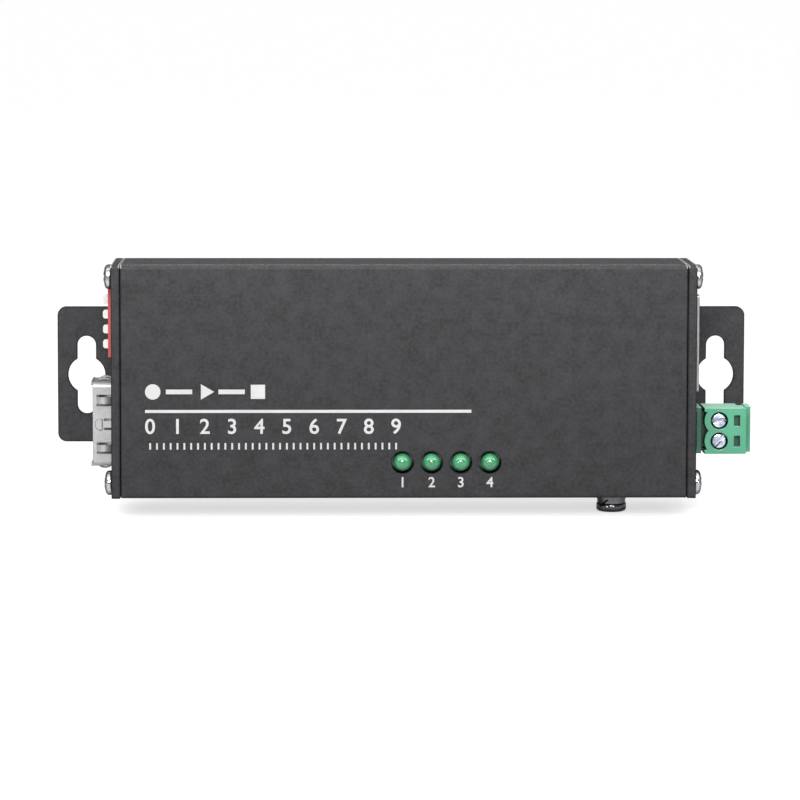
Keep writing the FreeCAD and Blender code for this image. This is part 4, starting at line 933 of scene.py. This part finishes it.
# Small end of a countersunk head, as a share of its radius, and the height of its rim.
SUNK_CORE, SUNK_RIM = 0.52, 0.06 * MM
# How far a pan head's lower edge is drawn in, and how high that ease reaches.
SEAT_EASE, SEAT_RISE = 0.05 * MM, 0.08 * MM
# How far the crown draws in and rises as shares of its height, and the steps of its curve.
CROWN_DRAW, CROWN_RISE, CROWN_STEPS = 1.25, 0.85, 8
# Radius of the flat on top, as a share of the head's.
TOP_FLAT = 0.35
# Width of the rolled edges round the head and its recess, and the turn in degrees past which they roll.
HEAD_ROLL, HEAD_ROLL_ANGLE = 0.05 * MM, 35.0
# Length and width of a recess's foot and of its cutter's top, as shares of the recess's own.
RECESS_FOOT: Span = (0.62, 0.7)
RECESS_TOP: Span = (1.06, 1.1)
# How far the cutter stands out over the head.
CUTTER_RISE = 0.3 * MM


@dataclass
class ScrewHead:
    """A turned screw head with a driver recess, seated at the origin and facing local +Z.

    Attributes:
        radius: Radius of the head, in metres.
        height: Height of the head.
        crown: How much of the height is the rounded crown.
        sunk: Whether the head is a countersunk cone below the origin.
        recess: Kind of driver recess.
        recess_reach: Half the recess's length.
        recess_width: Width of the recess.
        recess_depth: Depth of the recess.
        steps: Number of steps round the head.
    """

    radius: float
    height: float
    crown: float
    sunk: bool = False
    recess: Recess = Recess.CROSS
    recess_reach: float = 1.25 * MM
    recess_width: float = 0.55 * MM
    recess_depth: float = 0.8 * MM
    steps: int = 40

    def profile(self) -> list[tuple[float, float]]:
        """Draws half of the head's section.

        Returns:
            Radius and height pairs of the head, from its seat to its top.
        """
        if self.sunk:
            return [(self.radius * SUNK_CORE, -self.height), (self.radius - SUNK_RIM, -SUNK_RIM),
                    (self.radius - SUNK_RIM, 0.0)]
        wall = self.height - self.crown
        points = [(self.radius - SEAT_EASE, 0.0), (self.radius, SEAT_RISE), (self.radius, wall)]
        for step in range(1, CROWN_STEPS + 1):
            angle = 0.5 * math.pi * step / CROWN_STEPS
            radius = self.radius - self.crown * CROWN_DRAW * (1 - math.cos(angle))
            points.append((radius, wall + self.crown * CROWN_RISE * math.sin(angle)))
        points.append((TOP_FLAT * self.radius, self.height))
        return points

    def build(self, name: str) -> bpy.types.Mesh:
        """Builds the head's mesh with its recess cut in.

        Args:
            name: Name of the mesh.

        Returns:
            The mesh, seated at the origin.
        """
        work = bmesh.new()
        lathe(work, self.profile(), self.steps, Matrix.Identity(4))
        head = bpy.data.objects.new(name, mesh_of(work, name))
        bpy.context.scene.collection.objects.link(head)
        top = 0.0 if self.sunk else self.height
        turns = (0.0, 90.0) if self.recess is Recess.CROSS else (0.0,)
        cutters = [self.cutter(top, turn) for turn in turns]
        for cutter in cutters:
            cut = head.modifiers.new("recess", "BOOLEAN")
            cut.operation = "DIFFERENCE"
            cut.object = cutter
            cut.solver = "EXACT"
        rolled = head.modifiers.new("rolled_edge", "BEVEL")
        rolled.width = HEAD_ROLL
        rolled.segments = ROLL_STEPS
        rolled.limit_method = "ANGLE"
        rolled.angle_limit = math.radians(HEAD_ROLL_ANGLE)
        graph = bpy.context.evaluated_depsgraph_get()
        mesh = bpy.data.meshes.new_from_object(head.evaluated_get(graph))
        for spare in [head, *cutters]:
            bpy.data.objects.remove(spare)
        return mesh

    def cutter(self, top: float, turn: float) -> bpy.types.Object:
        """Makes the tapered bar that cuts one arm of the recess.

        Args:
            top: Height of the head's top.
            turn: Turn about the head's axis, in degrees.

        Returns:
            The cutter's object.
        """
        work = bmesh.new()
        rings = []
        levels = ((top - self.recess_depth, RECESS_FOOT), (top + CUTTER_RISE, RECESS_TOP))
        for height, (reach, width) in levels:
            x, y = self.recess_reach * reach, 0.5 * self.recess_width * width
            if self.recess is Recess.SLOT:
                x = self.recess_reach
            rings.append([work.verts.new((a, b, height)) for a, b in ((-x, -y), (x, -y), (x, y), (-x, y))])
        low, high = rings
        work.faces.new(list(reversed(low)))
        work.faces.new(high)
        for step in range(4):
            after = (step + 1) % 4
            work.faces.new((low[step], low[after], high[after], high[step]))
        work.transform(Matrix.Rotation(math.radians(turn), 4, "Z"))
        cutter = bpy.data.objects.new("recess_cutter", mesh_of(work, "recess_cutter"))
        bpy.context.scene.collection.objects.link(cutter)
        cutter.hide_render = True
        return cutter


def grown(tree: bpy.types.GeometryNodeTree, values: dict[str, object],
          points: Optional[bpy.types.Mesh] = None) -> bpy.types.Mesh:
    """Runs a geometry nodes tree and returns its result as a plain mesh.

    Args:
        tree: The tree.
        values: Value of each named input.
        points: Mesh that the tree starts from; an empty one where the tree makes all itself.

    Returns:
        The result.
    """
    holder = bpy.data.objects.new(tree.name, points or bpy.data.meshes.new(tree.name))
    bpy.context.scene.collection.objects.link(holder)
    modifier = holder.modifiers.new("grown", "NODES")
    modifier.node_group = tree
    for item in tree.interface.items_tree:
        if item.in_out == "INPUT" and item.name in values:
            modifier[item.identifier] = values[item.name]
    graph = bpy.context.evaluated_depsgraph_get()
    mesh = bpy.data.meshes.new_from_object(holder.evaluated_get(graph))
    bpy.data.objects.remove(holder)
    return mesh


# Places of a random number's upper end and of its result among the Random Value node's sockets.
RANDOM_MAX, RANDOM_RESULT = 3, 1


@dataclass
class ScrewSet:
    """A group of like screws, placed on points by geometry nodes.

    Attributes:
        name: Name of the finished piece.
        head: The head that is repeated.
        seats: Middle of each head's seat.
        outwards: Direction that the heads face.
        finish: What the screws are made of.
        node: Construction node that they stand for.
        body: Body that they ride on.
        spread: How far the recesses turn from screw to screw, in radians.
        seed: Seed of the turns.
    """

    name: str
    head: ScrewHead
    seats: list[Vector]
    outwards: Vector
    finish: Finish
    node: str
    body: str = "housing"
    spread: float = 1.5
    seed: int = 4

    def tree(self) -> bpy.types.GeometryNodeTree:
        """Builds the tree that sets a screw on each point, turned by a seeded amount.

        Returns:
            The tree.
        """
        tree = bpy.data.node_groups.new(self.name, "GeometryNodeTree")
        for label, kind, way in (
            ("Seats", "NodeSocketGeometry", "INPUT"), ("Screw", "NodeSocketObject", "INPUT"),
            ("Outwards", "NodeSocketVector", "INPUT"), ("Turn spread", "NodeSocketFloat", "INPUT"),
            ("Seed", "NodeSocketInt", "INPUT"), ("Finish", "NodeSocketMaterial", "INPUT"),
            ("Screws", "NodeSocketGeometry", "OUTPUT"),
        ):
            tree.interface.new_socket(label, in_out=way, socket_type=kind)
        given = add_node(tree, "NodeGroupInput").outputs
        source = add_node(tree, "GeometryNodeObjectInfo", {"Object": given["Screw"]})
        facing = add_node(tree, "FunctionNodeAlignRotationToVector", {"Vector": given["Outwards"]}, axis="Z")
        turn = add_node(tree, "FunctionNodeRandomValue", {
            RANDOM_MAX: given["Turn spread"], "Seed": given["Seed"],
        }, data_type="FLOAT").outputs[RANDOM_RESULT]
        turned = add_node(tree, "FunctionNodeAxisAngleToRotation", {"Axis": (0, 0, 1), "Angle": turn})
        rotation = add_node(tree, "FunctionNodeRotateRotation", {
            "Rotation": facing.outputs[0], "Rotate By": turned.outputs[0],
        }, rotation_space="LOCAL")
        placed = add_node(tree, "GeometryNodeInstanceOnPoints", {
            "Points": given["Seats"], "Instance": source.outputs["Geometry"], "Rotation": rotation.outputs[0],
        })
        real = add_node(tree, "GeometryNodeRealizeInstances", {"Geometry": placed.outputs[0]})
        dressed = add_node(tree, "GeometryNodeSetMaterial", {
            "Geometry": real.outputs[0], "Material": given["Finish"],
        })
        add_node(tree, "NodeGroupOutput", {"Screws": dressed.outputs[0]})
        return tree

    def build(self) -> bpy.types.Object:
        """Builds the screws as one plain mesh.

        Returns:
            The finished piece.
        """
        proto = bpy.data.objects.new(self.name + "_one", self.head.build(self.name + "_one"))
        bpy.context.scene.collection.objects.link(proto)
        points = bpy.data.meshes.new(self.name + "_seats")
        points.from_pydata([tuple(seat) for seat in self.seats], [], [])
        values = {"Screw": proto, "Outwards": self.outwards, "Turn spread": self.spread, "Seed": self.seed,
                  "Finish": self.finish.build()}
        mesh = grown(self.tree(), values, points)
        bpy.data.objects.remove(proto)
        return new_piece(self.name, mesh, self.finish, self.body, self.node)


# ---- Housing ---------------------------------------------------------------------------------------

class Mark(Enum):
    """Plain shapes in the front's print."""

    DISC = "disc"
    BAR = "bar"
    ARROW = "arrow"
    SQUARE = "square"


# Number of corners, their distance from the middle as a share of half the width, and the turn in degrees.
CORNERED: dict[Mark, tuple[int, float, float]] = {
    Mark.DISC: (40, 1.0, 0.0), Mark.ARROW: (3, 1.15, 0.0), Mark.SQUARE: (4, 0.92 * math.sqrt(2), 45.0),
}


@dataclass
class FrontPrint:
    """Generic print on the cover's face: a rule, a row of shapes, a numbered scale and the lamps' numbers.

    Places are measured from the middle of the housing, in millimetres, to the right and up.

    Attributes:
        ink_mm: Thickness of the ink.
        start_mm: Left end of the rule, the row and the scale.
        rule_end_mm: Right end of the rule.
        rule_height_mm: Height of the rule's middle.
        rule_width_mm: Width of the rule.
        mark_height_mm: Height of the row's middle.
        mark_size_mm: Width of a shape in the row.
        bar_shares: Length and width of a bar in the row, as shares of a shape's width.
        mark_gap: Gap between the shapes, as a share of a shape's width.
        number_height_mm: Height of the scale numbers' base line.
        number_size_mm: Height of the scale's numbers.
        number_step_mm: Distance from number to number.
        number_count: How many numbers the scale has.
        number_ticks: Ticks from one number to the next.
        tick_top_mm: Height of the ticks' upper ends.
        tick_mm: Length of a tick.
        tick_width_mm: Width of a tick.
        lamp_count: How many lamps are numbered.
        lamp_number_mm: Height of the lamps' numbers.
        lamp_number_height_mm: Height of their base line.
        figure_share: Height of a figure, as a share of its type size.
        figure_weight: How far a figure's strokes are widened to each side, as a share of its height.
        weld: Vertices of a figure that are closer than this, in metres, are one.
        face: Place of the cover's face along Y, in metres, as the model has it.
    """

    ink_mm: float = 0.03
    start_mm: float = -43.6
    rule_end_mm: float = 11.3
    rule_height_mm: float = -4.85
    rule_width_mm: float = 0.5
    mark_height_mm: float = -1.55
    mark_size_mm: float = 2.6
    bar_shares: Span = (1.7, 0.3)
    mark_gap: float = 0.35
    number_height_mm: float = -8.6
    number_size_mm: float = 2.5
    number_step_mm: float = 4.6
    number_count: int = 10
    number_ticks: int = 4
    tick_top_mm: float = -10.2
    tick_mm: float = 1.1
    tick_width_mm: float = 0.3
    lamp_count: int = 4
    lamp_number_mm: float = 1.7
    lamp_number_height_mm: float = -17.7
    figure_share: float = 0.7
    figure_weight: float = 0.02
    weld: float = 1e-7
    face: float = field(init=False, default=0.0)

    @property
    def first_mm(self) -> float:
        """Middle of the first number, which so starts about level with the rule."""
        return self.start_mm + self.number_size_mm / 3

    def build(self) -> None:
        """Prints the rule and the shapes as one piece, the numbers as another and the scale as a third."""
        self.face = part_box("front_cover")[0].y
        self.build_shapes()
        self.build_numbers()
        self.build_scale()

    def build_shapes(self) -> None:
        """Prints the long rule and the row of simple shapes over it."""
        work = bmesh.new()
        self.bar(work, self.start_mm, self.rule_end_mm, self.rule_height_mm, self.rule_width_mm)
        size, middle = self.mark_size_mm, self.mark_height_mm
        length, thickness = self.bar_shares
        place = self.start_mm
        for mark in (Mark.DISC, Mark.BAR, Mark.ARROW, Mark.BAR, Mark.SQUARE):
            width = length * size if mark is Mark.BAR else size
            if mark is Mark.BAR:
                self.bar(work, place, place + width, middle, thickness * size)
            else:
                self.shape(work, mark, place + size / 2, middle, size / 2)
            place += width + self.mark_gap * size
        new_piece("front_print_shapes", mesh_of(work, "front_print_shapes"), INK, "housing")

    def bar(self, work: bmesh.types.BMesh, x0: float, x1: float, middle: float, width: float) -> None:
        """Adds a straight bar of ink.

        Args:
            work: The bmesh that gets it.
            x0: Its left end, in millimetres.
            x1: Its right end, in millimetres.
            middle: Height of its middle, in millimetres.
            width: Its width, in millimetres.
        """
        low, high = middle - width / 2, middle + width / 2
        self.slab(work, [(x0, low), (x1, low), (x1, high), (x0, high)])

    def shape(self, work: bmesh.types.BMesh, mark: Mark, x: float, z: float, half: float) -> None:
        """Adds a disc, a square or an arrow head of ink.

        Args:
            work: The bmesh that gets it.
            mark: Which shape it is.
            x: Its middle along X, in millimetres.
            z: Its middle along Z, in millimetres.
            half: Half its width, in millimetres.
        """
        corners, share, turn = CORNERED[mark]
        points = []
        for corner in range(corners):
            angle = math.radians(turn) + 2 * math.pi * corner / corners
            points.append((x + share * half * math.cos(angle), z + share * half * math.sin(angle)))
        self.slab(work, points)

    def slab(self, work: bmesh.types.BMesh, outline: list[tuple[float, float]]) -> None:
        """Adds a closed layer of ink.

        Args:
            work: The bmesh that gets it.
            outline: Places round its edge, in millimetres.
        """
        rings = []
        for depth in (0.0, -self.ink_mm):
            rings.append([work.verts.new((x * MM, self.face + depth * MM, z * MM)) for x, z in outline])
        back, front = rings
        work.faces.new(back)
        work.faces.new(list(reversed(front)))
        for step in range(len(outline)):
            after = (step + 1) % len(outline)
            work.faces.new((back[step], front[step], front[after], back[after]))

    def build_numbers(self) -> None:
        """Prints the scale's numbers and a number under each lamp as one piece."""
        work = bmesh.new()
        for number in range(self.number_count):
            middle = self.first_mm + number * self.number_step_mm
            self.write(work, str(number), middle, self.number_height_mm, self.number_size_mm)
        for number in range(1, self.lamp_count + 1):
            low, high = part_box(f"led_{number}")
            middle = (low.x + high.x) / 2 / MM
            self.write(work, str(number), middle, self.lamp_number_height_mm, self.lamp_number_mm)
        new_piece("front_print_numbers", mesh_of(work, "front_print_numbers"), INK, "housing")

    def write(self, work: bmesh.types.BMesh, words: str, middle: float, base: float, size: float) -> None:
        """Adds printed figures, centred on a place.

        Args:
            work: The bmesh that gets them.
            words: The figures.
            middle: Their middle along X, in millimetres.
            base: Height of their base line, in millimetres.
            size: Height of the figures, in millimetres.
        """
        curve = bpy.data.curves.new("figures", "FONT")
        curve.body = words
        curve.align_x = "CENTER"
        curve.size = size / self.figure_share * MM
        curve.extrude = self.ink_mm / 2 * MM
        curve.offset = self.figure_weight * size * MM
        holder = bpy.data.objects.new("figures", curve)
        bpy.context.scene.collection.objects.link(holder)
        graph = bpy.context.evaluated_depsgraph_get()
        mesh = bpy.data.meshes.new_from_object(holder.evaluated_get(graph))
        place = Matrix.Translation((middle * MM, self.face - self.ink_mm / 2 * MM, base * MM))
        mesh.transform(place @ Matrix.Rotation(math.pi / 2, 4, "X"))
        work.from_mesh(mesh)
        bmesh.ops.remove_doubles(work, verts=work.verts, dist=self.weld)
        bpy.data.objects.remove(holder)
        bpy.data.meshes.remove(mesh)

    def build_scale(self) -> None:
        """Prints the scale's ticks, which geometry nodes set along a line."""
        tree = bpy.data.node_groups.new("printed_scale", "GeometryNodeTree")
        for label, kind, way in (
            ("Start", "NodeSocketVector", "INPUT"), ("Step", "NodeSocketVector", "INPUT"),
            ("Count", "NodeSocketInt", "INPUT"), ("Tick size", "NodeSocketVector", "INPUT"),
            ("Ink", "NodeSocketMaterial", "INPUT"), ("Ticks", "NodeSocketGeometry", "OUTPUT"),
        ):
            tree.interface.new_socket(label, in_out=way, socket_type=kind)
        given = add_node(tree, "NodeGroupInput").outputs
        line = add_node(tree, "GeometryNodeMeshLine", {
            "Count": given["Count"], "Start Location": given["Start"], "Offset": given["Step"],
        })
        tick = add_node(tree, "GeometryNodeMeshCube", {"Size": given["Tick size"]})
        placed = add_node(tree, "GeometryNodeInstanceOnPoints", {
            "Points": line.outputs[0], "Instance": tick.outputs[0],
        })
        real = add_node(tree, "GeometryNodeRealizeInstances", {"Geometry": placed.outputs[0]})
        inked = add_node(tree, "GeometryNodeSetMaterial", {
            "Geometry": real.outputs[0], "Material": given["Ink"],
        })
        add_node(tree, "NodeGroupOutput", {"Ticks": inked.outputs[0]})
        height = self.tick_top_mm - self.tick_mm / 2
        values = {
            "Start": (self.first_mm * MM, self.face - self.ink_mm / 2 * MM, height * MM),
            "Step": (self.number_step_mm / self.number_ticks * MM, 0.0, 0.0),
            "Count": self.number_ticks * (self.number_count - 1) + 1,
            "Tick size": (self.tick_width_mm * MM, self.ink_mm * MM, self.tick_mm * MM), "Ink": INK.build(),
        }
        new_piece("front_print_scale", grown(tree, values), INK, "housing")


@dataclass
class Housing:
    """Coated cover, shell and end plates with their screws and the front's print.

    Attributes:
        edge_mm: Radius of the end plates' edges.
        fold_mm: Radius of the cover's and the shell's edges.
        head_radius: Radius of an end screw's head, in metres.
        head_height: Height of the head.
        head_crown: How much of that height is the rounded crown.
    """

    edge_mm: float = 0.18
    fold_mm: float = 0.2
    head_radius: float = 2.1 * MM
    head_height: float = 1.4 * MM
    head_crown: float = 0.8 * MM

    def build(self) -> None:
        """Dresses the housing."""
        softened("front_cover", "front_cover_rolled", COAT, "housing", self.fold_mm)
        softened("rear_shell", "rear_shell_rolled", COAT, "housing", self.fold_mm)
        FrontPrint().build()
        for side in ("left", "right"):
            softened(f"{side}_end_plate", f"{side}_end_plate_rolled", COAT, "housing", self.edge_mm)
            self.build_screws(side)
        dress("circuit_board", MASK)

    def build_screws(self, side: str) -> None:
        """Adds the pan-head screws of one end.

        Args:
            side: "left" or "right".
        """
        node = f"{side}_end_screws"
        sign = -1.0 if side == "left" else 1.0
        seats = []
        for low, high in solids_of(node):
            middle = (low + high) / 2
            outer = low.x if sign < 0 else high.x
            seats.append(Vector((outer - sign * self.head_height, middle.y, middle.z)))
        head = ScrewHead(self.head_radius, self.head_height, self.head_crown)
        ScrewSet(node + "_turned", head, seats, Vector((sign, 0, 0)), NICKEL, node).build()


@dataclass
class WallMount:
    """Keyhole plate behind the shell and its countersunk screws.

    Attributes:
        edge_mm: Radius of the plate's edges.
        head_radius: Radius of a screw's head, in metres.
        head_depth: Depth of its cone.
        seed: Seed of the recesses' turns.
    """

    edge_mm: float = 0.15
    head_radius: float = 2.3 * MM
    head_depth: float = 1.2 * MM
    seed: int = 9

    def build(self) -> None:
        """Dresses the plate and its screws."""
        softened("wall_plate", "wall_plate_rolled", PLATE_COAT, "housing", self.edge_mm)
        seats = []
        for low, high in solids_of("wall_plate_screws"):
            middle = (low + high) / 2
            seats.append(Vector((middle.x, high.y, middle.z)))
        head = ScrewHead(self.head_radius, self.head_depth, crown=0.0, sunk=True)
        ScrewSet("wall_plate_screws_turned", head, seats, Vector((0, 1, 0)), BLACK_NICKEL,
                 "wall_plate_screws", seed=self.seed).build()


# ---- Ground terminal -------------------------------------------------------------------------------

@dataclass
class GroundTerminal:
    """Screw, split washer and flat washer under the housing.

    Attributes:
        head_crown: How much of the head's height is its rounded crown, in metres.
        recess_reach: Half the length of the cross recess.
        recess_width: Width of its arms.
    """

    head_crown: float = 0.65 * MM
    recess_reach: float = 1.5 * MM
    recess_width: float = 0.7 * MM

    def build(self) -> None:
        """Dresses the ground terminal."""
        dress_all(("ground_insert", "ground_flat_washer", "ground_spring_washer"), BLACK_NICKEL)
        low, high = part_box("ground_screw")
        washer_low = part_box("ground_spring_washer")[0]
        head = ScrewHead((high.x - low.x) / 2, washer_low.z - low.z, self.head_crown,
                         recess_reach=self.recess_reach, recess_width=self.recess_width)
        seat = Vector(((low.x + high.x) / 2, (low.y + high.y) / 2, washer_low.z))
        ScrewSet("ground_screw_turned", head, [seat], Vector((0, 0, -1)), BLACK_NICKEL,
                 "ground_screw").build()


# ---- Fibre end -------------------------------------------------------------------------------------

@dataclass
class FibreEnd:
    """Module cage with its spring collar, the connector in it and the switch above it.

    Attributes:
        slider_count: How many sliders the switch has.
    """

    slider_count: int = 4

    def build(self) -> None:
        """Dresses the fibre end."""
        dress("sfp_cage", TINNED)
        dress("sfp_spring_collar", SPRING)
        dress("sfp_connector", BLACK)
        dress("sfp_contacts", GOLD)
        dress("dip_body", RED)
        dress("dip_pins", TIN)
        dress_all((f"dip_slider_{number}" for number in range(1, self.slider_count + 1)), WHITE)


# ---- Copper end ------------------------------------------------------------------------------------

@dataclass
class CopperEnd:
    """Shielded jack and the plug-in power terminal.

    Attributes:
        head_height: Height of a wire screw's head, in metres.
        head_crown: How much of that height is the rounded crown.
        head_ease: How much smaller the head's radius is than its well's.
        head_steps: Number of steps round the head.
        slot_width: Width of its slot.
        slot_depth: Depth of its slot.
        slot_reach: Half the length of the slot's cutter, as a share of the head's radius.
        slot_turns: Turn of each screw's slot at rest, in degrees.
    """

    head_height: float = 1.4 * MM
    head_crown: float = 0.3 * MM
    head_ease: float = 0.06 * MM
    head_steps: int = 48
    slot_width: float = 0.75 * MM
    slot_depth: float = 0.4 * MM
    slot_reach: float = 1.2
    slot_turns: Span = (2.0, 47.0)

    def build(self) -> None:
        """Dresses the copper end."""
        dress("rj45_shield", TINNED)
        dress("rj45_insert", BLACK)
        dress("rj45_contacts", GOLD)
        dress_all(("header_pins", "plug_contacts", "wire_clamp_1", "wire_clamp_2"), TIN)
        # The header gets a darker copy of the plug's green, a painted shade.
        dress("terminal_header", SHADED_GREEN)
        dress("terminal_plug", GREEN)
        for number, turn in enumerate(self.slot_turns, start=1):
            self.build_wire_screw(number, turn)

    def build_wire_screw(self, number: int, turn: float) -> None:
        """Adds one slotted wire screw, which turns with its own body.

        Args:
            number: Number of the screw.
            turn: Turn of its slot at rest, in degrees.
        """
        node = f"terminal_screw_{number}"
        low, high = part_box(node)
        radius = (high.x - low.x) / 2 - self.head_ease
        head = ScrewHead(radius, self.head_height, self.head_crown, recess=Recess.SLOT,
                         recess_reach=self.slot_reach * radius, recess_width=self.slot_width,
                         recess_depth=self.slot_depth, steps=self.head_steps)
        mesh = head.build(node + "_turned")
        seat = Vector(((low.x + high.x) / 2, low.y + self.head_height, (low.z + high.z) / 2))
        facing = Matrix.Rotation(math.radians(90), 4, "X")
        mesh.transform(Matrix.Translation(seat) @ facing @ Matrix.Rotation(math.radians(turn), 4, "Z"))
        new_piece(node + "_turned", mesh, ZINC, node, node)


# ---- Status lamps ----------------------------------------------------------------------------------

@dataclass
class StatusLamps:
    """Four round-nosed lamps in the front, each with its lead frame cast in.

    Attributes:
        count: How many lamps there are.
        rim: How far a lamp's foot stands out, in metres.
        rim_height: Height of the foot.
        tip: Radius of the small flat that closes the dome.
        dome_steps: Steps from the dome's foot to its tip.
        round_steps: Steps round the lamp.
        anvil: Width of the wider head in the lead frame.
        post: Width of the narrower head.
        frame_gap: Gap between the two.
        frame_depth: Thickness of the frame.
        frame_below: Distance from the frame's top to the dome's tip, as a share of the lamp's radius.
    """

    count: int = 4
    rim: float = 0.35 * MM
    rim_height: float = 1.0 * MM
    tip: float = 0.02 * MM
    dome_steps: int = 14
    round_steps: int = 48
    anvil: float = 0.75 * MM
    post: float = 0.35 * MM
    frame_gap: float = 0.2 * MM
    frame_depth: float = 0.5 * MM
    frame_below: float = 1.15

    def build(self) -> None:
        """Builds the lamps and dresses what holds them."""
        for number in range(1, self.count + 1):
            self.build_lamp(number)
        dress("led_spacers", BLACK)
        dress("led_leads", TIN)

    def build_lamp(self, number: int) -> None:
        """Casts one lamp: a turned lens and the two bright heads of its leads inside it.

        Args:
            number: Number of the lamp.
        """
        node = f"led_{number}"
        low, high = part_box(node)
        radius = (high.x - low.x) / 2 - self.rim
        length = high.y - low.y
        shoulder = length - radius
        profile = [(radius + self.rim, 0.0), (radius + self.rim, self.rim_height), (radius, self.rim_height),
                   (radius, shoulder)]
        for step in range(1, self.dome_steps):
            angle = 0.5 * math.pi * step / self.dome_steps
            profile.append((radius * math.cos(angle), shoulder + radius * math.sin(angle)))
        profile.append((self.tip, length))
        middle = Vector(((low.x + high.x) / 2, high.y, (low.z + high.z) / 2))
        place = Matrix.Translation(middle) @ Matrix.Rotation(math.radians(90), 4, "X")
        work = bmesh.new()
        lathe(work, profile, self.round_steps, place)
        new_piece(node + "_lens", mesh_of(work, node + "_lens"), LENS, "housing", node)
        work = bmesh.new()
        top = length - self.frame_below * radius
        for side, width in ((-1, self.anvil), (1, self.post)):
            x = side * (self.frame_gap + width) / 2
            block = bmesh.ops.create_cube(work, size=1.0)["verts"]
            shape = Matrix.Diagonal((width, self.frame_depth, top - self.rim_height, 1))
            centre = Matrix.Translation((x, 0, (top + self.rim_height) / 2))
            bmesh.ops.transform(work, matrix=place @ centre @ shape, verts=block)
        new_piece(node + "_frame", mesh_of(work, node + "_frame"), TIN, "housing")


# ---- Board parts -----------------------------------------------------------------------------------

class BoardParts:
    """What stands on the board inside the housing."""

    FINISHES: dict[str, Finish] = {
        "network_transformer": EPOXY, "converter_chip": EPOXY, "regulator_chip": EPOXY,
        "power_inductor": FERRITE, "crystal": CAN, "capacitors": CAN,
    }

    def build(self) -> None:
        """Dresses the parts on the board."""
        for node, finish in self.FINISHES.items():
            dress(node, finish)


# ---- The whole unit --------------------------------------------------------------------------------

def box_of_all() -> list[list[float]]:
    """The object's lowest and highest corner as plain numbers."""
    return [list(map(float, corner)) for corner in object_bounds()]


def main() -> None:
    """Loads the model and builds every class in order."""
    logging.basicConfig(level=logging.INFO, format="%(name)s: %(message)s")
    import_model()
    model_box = box_of_all()
    Studio().build(model_box[0][2])
    parts = (Housing(), WallMount(), GroundTerminal(), FibreEnd(), CopperEnd(), StatusLamps(), BoardParts())
    for part in parts:
        part.build()
        LOG.info("built %s", type(part).__name__)


if __name__ == "__main__":
    main()
